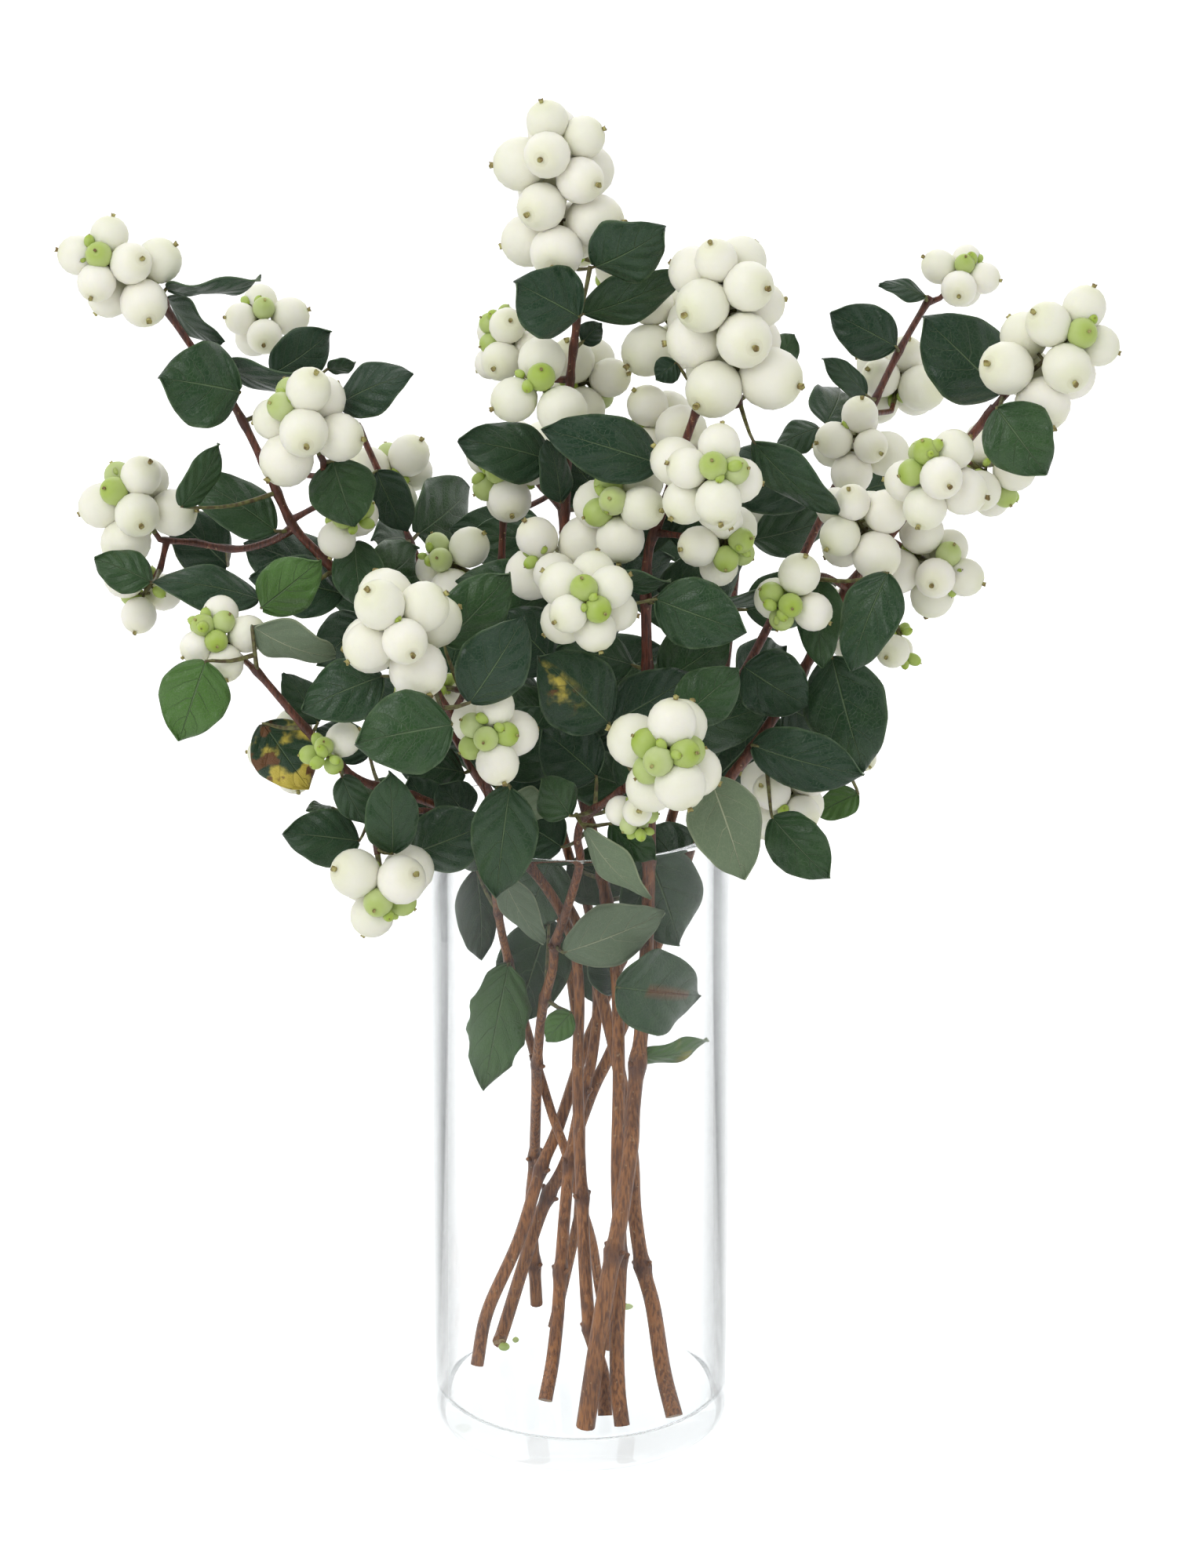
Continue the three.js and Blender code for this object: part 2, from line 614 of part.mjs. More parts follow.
function shifted(spot, shift) {
  return [spot[0], spot[1], spot[2] + shift];
}

// Berries pressed round a short stalk: places and radii, worked out by pushing them apart
function berriesOf(foot, axis, length, radius, count, green, seed) {
  const draw = stream(seed);
  const side = new THREE.Vector3().crossVectors(axis, Math.abs(axis.z) < NEARLY_UP ? UP : RIGHT).normalize();
  const other = axis.clone().cross(side);
  const turn = draw() * 2 * Math.PI;
  const berries = [];
  for (let i = 0; i < count; i += 1) {
    const graded = BASE_SHARE + (TIP_SHARE - BASE_SHARE) * (i / count);
    const share = i < count - green ? graded + BERRY_SPREAD * (2 * draw() - 1) : GREEN_SHARE;
    const angle = turn + i * GOLDEN_ANGLE;
    const at = foot.clone().addScaledVector(axis, ((i + 0.5) / count) * (length + radius));
    at.addScaledVector(side, radius * Math.cos(angle)).addScaledVector(other, radius * Math.sin(angle));
    berries.push({ at, radius: share * radius });
  }
  for (let round = 0; round < SETTLE_ROUNDS; round += 1) {
    for (let i = 0; i < count; i += 1) {
      for (let j = i + 1; j < count; j += 1) {
        const apart = berries[j].at.clone().sub(berries[i].at);
        const gap = apart.length();
        const want = PRESS * (berries[i].radius + berries[j].radius);
        if (gap < want) {
          apart.multiplyScalar((want - gap) / (2 * gap));
          berries[i].at.sub(apart);
          berries[j].at.add(apart);
        }
      }
    }
    for (const berry of berries) {
      const along = berry.at.clone().sub(foot).dot(axis);
      const kept = Math.max(along, -PERCH * radius);
      berry.at.addScaledVector(axis, kept - along);
      const seat = foot.clone().addScaledVector(axis, Math.min(Math.max(kept, 0), length));
      const out = berry.at.clone().sub(seat);
      const far = PERCH * radius + berry.radius;
      const reach = Math.min(Math.max(out.length(), LEAST_PERCH * far), far);
      berry.at.copy(seat).addScaledVector(out.normalize(), reach);
      const clear = berry.radius + TWIG_ROOM_MM;
      const low = berry.at.clone().sub(foot);
      const height = low.dot(axis);
      const around = low.addScaledVector(axis, -height);
      if (height < LOW_BERRY * berry.radius && around.length() < clear) {
        berry.at.copy(foot).addScaledVector(axis, height).addScaledVector(around.normalize(), clear);
      }
    }
  }
  return berries;
}

// One bunch: its short stalk, its berries and the twig that carries it
function makeBunch(row, index, shift) {
  const [name, stem, middle, toward, count, width, green] = row;
  const radius = width / 2;
  const heart = place(shifted(middle, shift));
  const ahead = place([middle[0] + toward[0], middle[1] + toward[1], middle[2] + shift + toward[2]]);
  const axis = ahead.sub(heart).normalize();
  const filled = count - green + green * GREEN_SHARE * GREEN_SHARE;
  const length = radius * Math.max(LEAST_STALK, (SEAT_AREA * filled - END_AREA) / SIDE_AREA);
  const foot = heart.clone().addScaledVector(axis, -0.5 * length - SETBACK * radius);
  const berries = berriesOf(foot, axis, length, radius, count, green, index + 1);
  const end = foot.clone().addScaledVector(axis, -STALK_LENGTH * radius);
  const tip = end.clone().addScaledVector(axis, -SEAT_GAP);
  const root = nearestWood(stem, tip);
  const steps = root.distanceTo(tip) > LONG_TWIG ? 2 : 1;
  const path = twig(root, tip, axis, steps);
  const narrowing = SPUR_RADIUS - SPUR_ROOT_RADIUS;
  const radii = path.map((_, i) => SPUR_ROOT_RADIUS + narrowing * Math.min(1, i / steps));
  const own = "bunch_" + name;
  const balls = berries.map((berry) => ({
    at: berry.at,
    room: berry.radius * FACETED_SWELL + BERRY_ROOM,
    owner: own,
    kind: "berry",
  }));
  balls.push(...rodBalls(path, radii, stem));
  return { name: own, stem, root, axis, foot, end, length, radius, berries, path, radii, balls };
}

// Half the width of a blade at a share of its length, as a share of the greatest half width
function outline(share) {
  return Math.sin(Math.PI * share ** OUTLINE_SKEW) ** OUTLINE_FULLNESS;
}

// One point of a blade's middle sheet: share of the length and share of the half width
function bladePoint(leaf, share, across) {
  const half = 0.5 * leaf.width * outline(share);
  const wave = BLADE_WAVE * leaf.width * Math.sin(WAVES * Math.PI * share + leaf.phase) * across * across;
  const rise = BLADE_ARCH * leaf.length * 4 * share * (1 - share) - BLADE_FOLD * half * Math.abs(across);
  const point = leaf.base.clone().addScaledVector(leaf.along, leaf.length * share);
  point.addScaledVector(leaf.side, half * across);
  return point.addScaledVector(leaf.face, rise + wave * Math.sign(across));
}

// A leaf's frame, its stalk and the balls that stand for it
function makeLeaf(owner, base, tip, width, roll, seed, rows) {
  const draw = stream(seed);
  const span = tip.clone().sub(base);
  const length = span.length();
  const along = span.normalize();
  const eye = new THREE.Vector3(VIEW.x, VIEW.y, VIEW.z).sub(base).normalize();
  const face = eye.addScaledVector(along, -eye.dot(along)).normalize();
  face.applyAxisAngle(along, (roll * Math.PI) / 180);
  const side = along.clone().cross(face);
  const leaf = { base, along, face, side, length, width, phase: draw() * 2 * Math.PI };
  leaf.rows = rows;
  leaf.notches = rows.map(() => [1 - BLADE_NOTCH * draw(), 1 - BLADE_NOTCH * draw()]);
  leaf.root = nearestWood(owner, base);
  leaf.balls = rodBalls([leaf.root, base], [STALK_WIDTH / 2, STALK_WIDTH / 2], owner);
  for (const share of BALL_ROWS) {
    for (const across of BALL_COLUMNS) {
      const at = bladePoint(leaf, share, across);
      leaf.balls.push({ at, room: BLADE_ROOM, owner, kind: "blade" });
    }
  }
  return leaf;
}

// A thin waved sheet with the same triangles on both faces, from its root in the wood to its tip
function bladeSolid(leaf) {
  const rows = [[leaf.root]];
  if (leaf.root.distanceTo(leaf.base) > SHORT_STALK) {
    const half = STALK_WIDTH / 2;
    rows.push([-half, 0, half].map((across) => leaf.base.clone().addScaledVector(leaf.side, across)));
  }
  leaf.rows.forEach((share, i) => {
    const [left, right] = leaf.notches[i];
    rows.push([-left, 0, right].map((across) => bladePoint(leaf, share, across)));
  });
  rows.push([bladePoint(leaf, 1, 0)]);
  const sheet = rows.flat();
  const count = sheet.length;
  const positions = [];
  for (const lift of [BLADE_THICKNESS / 2, -BLADE_THICKNESS / 2]) {
    for (const point of sheet) {
      const spot = point.clone().addScaledVector(leaf.face, lift);
      positions.push(spot.x, spot.y, spot.z);
    }
  }
  const faces = [[0, 2, 1], [0, 3, 2]];
  const wide = rows.length - 2;
  for (let row = 0; row + 1 < wide; row += 1) {
    const a = 1 + 3 * row;
    faces.push([a, a + 1, a + 4], [a, a + 4, a + 3], [a + 1, a + 2, a + 4], [a + 2, a + 5, a + 4]);
  }
  const end = count - 1;
  faces.push([end - 3, end - 2, end], [end - 2, end - 1, end]);
  const left = rows.slice(1, -1).map((_, i) => 1 + 3 * i);
  const right = left.map((corner) => corner + 2);
  const rim = [0, ...right, end, ...left.reverse()];
  const triangles = [];
  for (const [a, b, c] of faces) {
    triangles.push(a, b, c);
    triangles.push(a + count, c + count, b + count);
  }
  rim.forEach((a, i) => {
    const b = rim[(i + 1) % rim.length];
    triangles.push(a, a + count, b + count, a, b + count, b);
  });
  return solidOf(positions, triangles);
}

// A faceted berry with one corner pointing away from the stalk
function berrySolid(berry, seat) {
  const small = berry.radius < SMALL_BERRY_MM;
  const Shape = small ? THREE.OctahedronGeometry : THREE.IcosahedronGeometry;
  const geometry = new Shape(berry.radius * (small ? SMALL_SWELL : FACETED_SWELL), 0);
  const corner = new THREE.Vector3().fromBufferAttribute(geometry.attributes.position, 0).normalize();
  const out = berry.at.clone().sub(seat).normalize();
  geometry.applyQuaternion(new THREE.Quaternion().setFromUnitVectors(corner, out));
  geometry.translate(berry.at.x, berry.at.y, berry.at.z);
  return solidOfGeometry(geometry);
}

function bunchSolid(bunch) {
  const { foot, end, axis, length, radius } = bunch;
  const core = [end, foot, foot.clone().addScaledVector(axis, length + CORE_OVERRUN * radius)];
  const parts = [rod(core, [SPUR_RADIUS, CORE_RADIUS * radius, CORE_RADIUS * radius], 4)];
  for (const berry of bunch.berries) {
    const share = Math.min(Math.max(berry.at.clone().sub(foot).dot(axis), 0), length);
    parts.push(berrySolid(berry, foot.clone().addScaledVector(axis, share)));
  }
  return fused(parts, BERRY_SLIVER);
}

// Parts fused into one body: slivers are welded away, loose scraps and sealed hollows go
function fused(parts, sliver) {
  const solid = wasm.Manifold.union(parts).asOriginal().setTolerance(sliver);
  return solid.decompose().reduce((best, body) => (body.volume() > best.volume() ? body : best));
}

function meshOf(name, solid, finish) {
  const { vertProperties, triVerts } = solid.getMesh();
  const geometry = new THREE.BufferGeometry();
  geometry.setAttribute("position", new THREE.BufferAttribute(Float32Array.from(vertProperties), 3));
  geometry.setIndex(new THREE.BufferAttribute(Uint32Array.from(triVerts), 1));
  geometry.computeVertexNormals();
  const mesh = new THREE.Mesh(geometry, new THREE.MeshStandardMaterial(finish));
  mesh.name = name;
  return mesh;
}

function vaseMesh() {
  const { radius, height, wall, floor, footRound, rimRound, sides } = VASE;
  const inner = radius - wall;
  const profile = [
    [0, 0], [radius - footRound, 0], [radius - 0.3 * footRound, 0.3 * footRound], [radius, footRound],
    [radius, height - rimRound], [radius - wall / 2, height], [inner, height - rimRound],
    [inner, floor + rimRound], [inner - rimRound, floor], [0, floor],
  ].map(([across, up]) => new THREE.Vector2(across, up));
  const geometry = new THREE.LatheGeometry(profile, sides);
  geometry.rotateX(Math.PI / 2);
  return meshOf("vase", solidOfGeometry(geometry), GLASS);
}

const group = new THREE.Group();
group.add(vaseMesh());

// Wood of every stem and branch, placed first
const wood = new Map();
for (const stem of STEMS) {
  const points = stem.route.map(place);
  if (stem.foot) points.unshift(footing(stem.foot, stem.thick / 2, points[0]));
  const route = smoothRoute(points, STEM_STEP);
  const radii = taper(route, stem.thick, stem.thin, STEM_TAPER);
  wood.set(stem.name, [rod(route, radii, STEM_SIDES)]);
  placed.push(...rodBalls(route, radii, stem.name));
}
for (const branch of BRANCHES) {
  const route = smoothRoute(branch.route.map(place), STEM_STEP);
  const radii = taper(route, branch.thick, branch.thin, 1);
  wood.get(branch.stem).push(rod(route, radii, STEM_SIDES));
  placed.push(...rodBalls(route, radii, branch.stem));
}

// Bunches and the twigs that carry them
BUNCHES.forEach((row, index) => {
  const bunch = settle((shift) => makeBunch(row, index, shift));
  if (!bunch) return;
  wood.get(bunch.stem).push(rod(bunch.path, bunch.radii, TWIG_SIDES));
  group.add(meshOf(bunch.name, bunchSolid(bunch), BERRY));
});

// Leaves, set where the view shows them
function addLeaf(leaf, owner) {
  wood.get(owner).push(bladeSolid(leaf));
}
let leafSeed = FIRST_LEAF_SEED;
for (const [owner, leaves] of Object.entries(LEAVES)) {
  for (const [base, tip, width, roll] of leaves) {
    leafSeed += 1;
    const leaf = settle((shift) => {
      const [root, end] = [place(shifted(base, shift)), place(shifted(tip, shift))];
      const rows = root.distanceTo(end) < SHORT_BLADE ? PAIR_ROWS : BLADE_ROWS;
      return makeLeaf(owner, root, end, width, roll, leafSeed, rows);
    });
    if (leaf) addLeaf(leaf, owner);
  }
}

// Leaf pairs by rule, left out where there is no room
for (const [owner, heights, turn] of PAIRS) {
  const stemWood = placed.filter((ball) => ball.kind === "wood" && ball.owner === owner);
  heights.forEach((height, i) => {
    const off = (ball) => Math.abs(ball.at.z - height);
    const root = stemWood.reduce((best, ball) => (off(ball) < off(best) ? ball : best)).at;
    for (const half of [0, 1]) {
      leafSeed += 1;
      const leaf = settle((shift) => {
        const angle = ((turn + PAIR_STEP * (i % 2) + 180 * half + PAIR_SWING * shift) * Math.PI) / 180;
        const out = new THREE.Vector3(Math.cos(angle), Math.sin(angle), PAIR_RISE).normalize();
        const base = root.clone().addScaledVector(out, PAIR_STALK);
        const length = PAIR_LENGTH - PAIR_SHRINK * Math.abs(shift);
        const width = (PAIR_WIDTH * length) / PAIR_LENGTH;
        const tip = root.clone().addScaledVector(out, PAIR_STALK + length);
        return makeLeaf(owner, base, tip, width, PAIR_ROLL, leafSeed, PAIR_ROWS);
      });
      if (leaf) addLeaf(leaf, owner);
    }
  });
}

for (const [name, parts] of wood) {
  group.add(meshOf(name, fused(parts, SLIVER), BARK));
}

export default group;
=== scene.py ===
"""Cut snowberry stems with leaves and berry bunches, standing in a clear glass cylinder vase.

Every place is found as in the solids: a spot of the view and a depth name a point, and a piece that
finds no room there moves a little in depth. So each finer piece keeps the form of its solid.
Places and sizes are in millimetres until a mesh is made.
"""
import logging
import math
from dataclasses import dataclass, field
from enum import Enum
from typing import Callable, Iterable, Optional, Sequence

import bmesh
import bpy
import numpy as np
from mathutils import Matrix, Vector


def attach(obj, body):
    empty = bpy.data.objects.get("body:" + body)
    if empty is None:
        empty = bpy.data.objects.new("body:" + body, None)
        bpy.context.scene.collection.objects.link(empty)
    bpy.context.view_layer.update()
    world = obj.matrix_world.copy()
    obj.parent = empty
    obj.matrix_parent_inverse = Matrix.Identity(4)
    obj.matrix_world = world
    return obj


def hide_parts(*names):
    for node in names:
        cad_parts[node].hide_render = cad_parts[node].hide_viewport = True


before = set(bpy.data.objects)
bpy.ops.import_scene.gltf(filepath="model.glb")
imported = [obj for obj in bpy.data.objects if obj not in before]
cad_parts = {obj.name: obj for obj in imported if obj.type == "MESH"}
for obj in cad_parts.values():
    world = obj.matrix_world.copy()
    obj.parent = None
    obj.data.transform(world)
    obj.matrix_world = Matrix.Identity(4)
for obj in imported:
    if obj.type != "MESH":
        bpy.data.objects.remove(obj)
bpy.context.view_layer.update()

LOG = logging.getLogger("snowberry")
MM = 0.001
UP = np.array([0.0, 0.0, 1.0])
RIGHT = np.array([1.0, 0.0, 0.0])
GOLDEN_ANGLE = math.pi * (3 - math.sqrt(5))
ANY_BOUNCE = 0.5


class Kind(Enum):
    """What a ball of room stands for."""

    WOOD = 0
    BERRY = 1
    BLADE = 2


class LeafLook(Enum):
    """How a leaf differs from a plain dark one."""

    PLAIN = "plain"
    LIGHT = "light"
    UNDERSIDE = "underside"
    SPOTTED = "spotted"
    BROWNED = "browned"
    YELLOWING = "yellowing"
    SLIT = "slit"
    LOBED = "lobed"


@dataclass(frozen=True)
class Eye:
    """The eye of the view: place in mm, pitch in radians, the rest in points of the view."""

    x: float = 2.4
    y: float = -1200
    z: float = 580
    pitch: float = 0.303216
    focal: float = 5396.1
    across: float = 750
    down: float = 999.5
    height: float = 1999
    sensor: float = 36

    def slope(self, down: float) -> float:
        """Angle above level of the line of sight through a height of the view."""
        return math.atan((self.down - down) / self.focal) - self.pitch

    def place(self, spot: Sequence[float]) -> np.ndarray:
        """The point seen at a spot of the view.

        Args:
            spot: Across and down in points, and the depth behind the vase's axis in mm.

        Returns:
            The point in mm.
        """
        across, down, depth = spot
        run = depth - self.y
        z = self.z + run * math.tan(self.slope(down))
        reach = run * math.cos(self.pitch) - (z - self.z) * math.sin(self.pitch)
        return np.array([self.x + (across - self.across) / self.focal * reach, depth, z])

    def down_of(self, point: np.ndarray) -> float:
        """Height in the view at which a point in mm is seen."""
        angle = math.atan((point[2] - self.z) / (point[1] - self.y)) + self.pitch
        return self.down - self.focal * math.tan(angle)


@dataclass(frozen=True)
class RoomRule:
    """Room that the pieces of different stems keep, in mm."""

    wood: float = 0.45
    berry: float = 0.35
    blade: float = 1.2
    between_blades: float = 4.4
    root_reach: float = 6
    ball_step: float = 2.4
    shifts: tuple = (0, -4, 4, -8, 8, -12, 12, -16, 16, -20, 20, -25, 25, -30, 30, -36, 36)


@dataclass(frozen=True)
class RodRule:
    """Stems and twigs: how they run and taper, in mm or as shares."""

    seat_gap: float = 0.3
    foot_rounds: int = 6
    step: float = 30
    taper: float = 0.9
    twig_foot: float = 1.1
    twig_tip: float = 0.9
    twig_end: float = 2.5
    long_twig: float = 20
    knee: float = 0.45
    liking_for_below: float = 0.5
    stalk_width: float = 1.3
    fine_step: float = 2
    fine_twig: float = 0.78
    fine_foot: float = 0.9
    fine_taper: float = 0.6
    sides: int = 10
    knot_swell: float = 0.3
    knot_reach: float = 2.2
    ring_reach: float = 1.2
    stub: float = 1.5
    stub_lift: float = 1.5
    stub_bow: float = 0.3
    stub_root: float = 0.5
    stub_radii: tuple = (1.1, 1.0, 0.5)
    stub_turns: tuple = (0.25, 0.5)
    cut_reach: float = 1
    cut_facing: float = 0.9


@dataclass(frozen=True)
class StalkRule:
    """Green stalks of leaves: how they run and taper, in mm or as shares of the leaf."""

    sag: float = 0.06
    into_blade: float = 0.12
    above_blade: float = 0.1
    step: float = 2.5
    foot: float = 1.5
    tip: float = 0.8
    sides: int = 6


@dataclass(frozen=True)
class BunchRule:
    """Berries pressed round a short stalk, in radii of a ripe berry unless said otherwise."""

    green_share: float = 0.6
    spread: float = 0.07
    base_share: float = 1.06
    tip_share: float = 0.8
    perch: float = 0.3
    least_perch: float = 0.85
    swell: float = 0.93
    low: float = 0.5
    twig_room_mm: float = 1.6
    rounds: int = 40
    seat_area: float = 2.9
    end_area: float = 12.8
    side_area: float = 7.85
    least_stalk: float = 0.3
    setback: float = 0.47
    nearly_up: float = 0.9
    stalk_mm: tuple = (0.85, 0.8, 0.5)
    neck_mm: tuple = (0.5, 0.45)
    neck_end: float = 0.9
    wide: tuple = (0.97, 1.02)
    tall: tuple = (0.98, 1.06)
    unripe: tuple = (0.72, 1.0)
    ripe: tuple = (0.0, 0.14)
    sides: int = 6
    seed: int = 500
    buds: int = 3
    bud_mm: tuple = (1.1, 1.9)
    bud_tall: float = 1.35
    bud_stalk_mm: float = 1.2
    bud_neck_mm: tuple = (0.35, 0.45)
    bud_below: float = 0.3
    bud_above: float = 0.8
    bud_lean: tuple = (0.2, 0.9)
    bud_reach_mm: tuple = (2.6, 3.8)


@dataclass(frozen=True)
class BladeRule:
    """Shape of a leaf blade as shares of its length or width; the rest in mm and degrees."""

    arch: float = 0.09
    fold: float = 0.16
    wave: float = 0.07
    notch: float = 0.09
    skew: float = 0.8
    fullness: float = 0.75
    waves: float = 3.2
    rows: tuple = (0.17, 0.47, 0.78)
    pair_rows: tuple = (0.3, 0.7)
    ball_rows: tuple = (0.06, 0.18, 0.3, 0.42, 0.54, 0.66, 0.78, 0.9, 1)
    ball_columns: tuple = (-0.9, -0.45, 0, 0.45, 0.9)
    short: float = 32
    pair_length: float = 34
    pair_shrink: float = 0.36
    pair_width: float = 24
    pair_step: float = 50
    pair_rise: float = 0.25
    pair_stalk: float = 4.5
    pair_roll: float = 20
    pair_swing: float = 1.5
    first_seed: int = 100
    thickness: float = 0.4
    even: float = 0.4
    end_gap: float = 0.006


@dataclass(frozen=True)
class MarkRule:
    """Margins and marks of leaves, as shares of their length or half width."""

    ripple_depth: float = 0.02
    lobe_depth: float = 0.15
    lobes: float = 4.5
    lobe_edge: int = 3
    point: float = 0.14
    point_power: float = 0.35
    seed: int = 1000
    plain_tones: tuple = (0.02, 0.36)
    brown_most: float = 1.4
    brown_fall: float = 3
    brown_at: tuple = (0.75, -0.3)
    yellow_rise: float = 2
    yellow_less: float = 0.9
    yellow_most: float = 0.9
    slit_depth: float = 2
    slit_width: float = 0.08
    slit_from: float = 0.28
    slit_to: float = 0.76


@dataclass(frozen=True)
class StemPlan:
    """A stem read from the view: widths in mm, route of across, down and depth, from the foot up."""

    name: str
    thick: float
    thin: float
    route: list
    foot: Optional[list] = None


@dataclass(frozen=True)
class BranchPlan:
    """A side branch, grown from a stem and one piece with it."""

    stem: str
    thick: float
    thin: float
    route: list


# Stems. A route is a list of across, down and the depth behind the vase's axis in mm, from the foot up
STEMS = [
    StemPlan(name="stem_crown", thick=4.9, thin=2.1, foot=[792, 1816], route=[
        [787, 1769, -29], [786, 1705, -25], [790, 1603, -21], [787, 1496, -17], [789, 1369, -13],
        [785, 1240, -8], [765, 1110, -5], [738, 1000, -3], [716, 900, -1], [718, 780, 0],
        [720, 660, 1], [726, 494, 0], [735, 395, -1], [722, 335, -2],
    ]),
    StemPlan(name="stem_right_centre", thick=5.8, thin=2.3, foot=[746, 1818], route=[
        [760, 1721, -32], [773, 1641, -32], [787, 1570, -31], [803, 1466, -28], [806, 1417, -25],
        [812, 1362, -22], [819, 1300, -19], [826, 1180, -15], [828, 1060, -13], [826, 900, -14],
        [824, 727, -16], [841, 660, -18], [875, 559, -22], [892, 512, -24],
    ]),
    StemPlan(name="stem_left_long", thick=5.2, thin=2, foot=[857, 1804], route=[
        [844, 1747, -20], [832, 1667, -16], [819, 1616, -13], [809, 1546, -9], [806, 1480, -6],
        [795, 1400, -3], [778, 1320, 0], [745, 1210, 3], [700, 1130, 4], [652, 1060, 4],
        [575, 930, 4], [480, 790, 2], [420, 720, 0], [375, 672, -2], [345, 610, -2],
        [300, 520, -3], [250, 450, -4], [210, 392, -5],
    ]),
    StemPlan(name="stem_left_low", thick=4.4, thin=2.1, foot=[771, 1804], route=[
        [768, 1753, -21], [752, 1695, -19], [745, 1609, -16], [742, 1530, -13], [739, 1482, -11],
        [736, 1369, -9], [738, 1273, -9], [728, 1200, -10], [690, 1130, -14], [625, 1062, -20],
        [540, 1020, -29], [460, 995, -38], [417, 959, -43], [383, 921, -47], [344, 875, -51],
        [322, 850, -53],
    ]),
    StemPlan(name="stem_left_centre", thick=4.5, thin=2.1, foot=[695, 1785], route=[
        [704, 1737, -10], [711, 1674, -7], [714, 1625, -4], [720, 1546, 0], [726, 1488, 3],
        [736, 1433, 6], [744, 1398, 8], [755, 1356, 10], [762, 1280, 12], [752, 1180, 14],
        [722, 1080, 17], [690, 960, 22], [655, 850, 27], [640, 740, 31], [642, 650, 33],
    ]),
    StemPlan(name="stem_right_back", thick=4.4, thin=2, foot=[605, 1742], route=[
        [618, 1676, 13], [659, 1587, 15], [688, 1498, 17], [710, 1448, 19], [742, 1356, 21],
        [765, 1302, 22], [797, 1228, 23], [835, 1120, 23], [866, 1012, 24], [915, 915, 30],
        [968, 820, 39], [1021, 713, 50], [1075, 600, 60], [1120, 500, 67], [1150, 440, 71],
        [1186, 378, 74],
    ]),
    StemPlan(name="stem_far_right", thick=4.6, thin=2.6, foot=[633, 1714], route=[
        [641, 1692, 27], [679, 1577, 22.5], [698, 1531, 20.5], [720, 1491, 18], [755, 1400, 14],
        [777, 1356, 12], [812, 1280, 9], [850, 1190, 6], [885, 1095, 4], [900, 1040, 2],
        [930, 992, -1], [964, 948, -4], [1029, 845, -8], [1080, 751, -10], [1111, 713, -11],
        [1164, 644, -13], [1241, 552, -16], [1268, 520, -17],
    ]),
    StemPlan(name="stem_front", thick=4.2, thin=2.2, route=[
        [682, 1668, 36.2], [679, 1619, 34.5], [674, 1546, 31], [679, 1484, 25], [682, 1401, 12],
        [683, 1364, 6], [691, 1292, -4], [704, 1241, -12], [707, 1209, -16], [720, 1171, -21],
        [739, 1104, -29], [736, 1069, -34], [744, 1043, -39], [768, 1025, -47], [795, 1006, -57],
    ]),
    StemPlan(name="stem_back_left", thick=3.7, thin=2, foot=[704, 1697], route=[
        [711, 1669, 36], [733, 1578, 32], [738, 1546, 31], [740, 1450, 30], [738, 1356, 31],
        [725, 1250, 31], [706, 1150, 31], [690, 1060, 31], [655, 960, 38], [600, 850, 49],
        [545, 740, 60], [500, 640, 68], [455, 540, 71],
    ]),
    StemPlan(name="stem_front_left", thick=3.3, thin=2.1, foot=[778, 1722], route=[
        [764, 1645, 19], [755, 1590, 16], [740, 1540, 12.5], [720, 1474, 11.5], [704, 1433, 14.5],
        [690, 1390, 17], [676, 1345, 16], [655, 1270, 9], [637, 1195, -2], [628, 1120, -17],
        [624, 1060, -29], [622, 1010, -37], [612, 968, -43], [580, 918, -53], [545, 865, -61],
    ]),
]

# Side branches
BRANCHES = [
    BranchPlan(stem="stem_right_back", thick=2.8, thin=2,
               route=[[915, 915, 30], [925, 850, 46], [935, 760, 68], [945, 660, 86]]),
    BranchPlan(stem="stem_left_centre", thick=2.8, thin=2,
               route=[[690, 960, 22], [705, 880, 40], [720, 770, 64], [715, 640, 84]]),
    BranchPlan(stem="stem_left_long", thick=2.4, thin=1.9,
               route=[[375, 672, -2], [345, 690, 4], [300, 700, 10], [240, 690, 12]]),
    BranchPlan(stem="stem_far_right", thick=2.8, thin=2,
               route=[[1029, 845, -8], [1010, 900, 6], [1035, 880, 24], [1070, 800, 40]]),
]

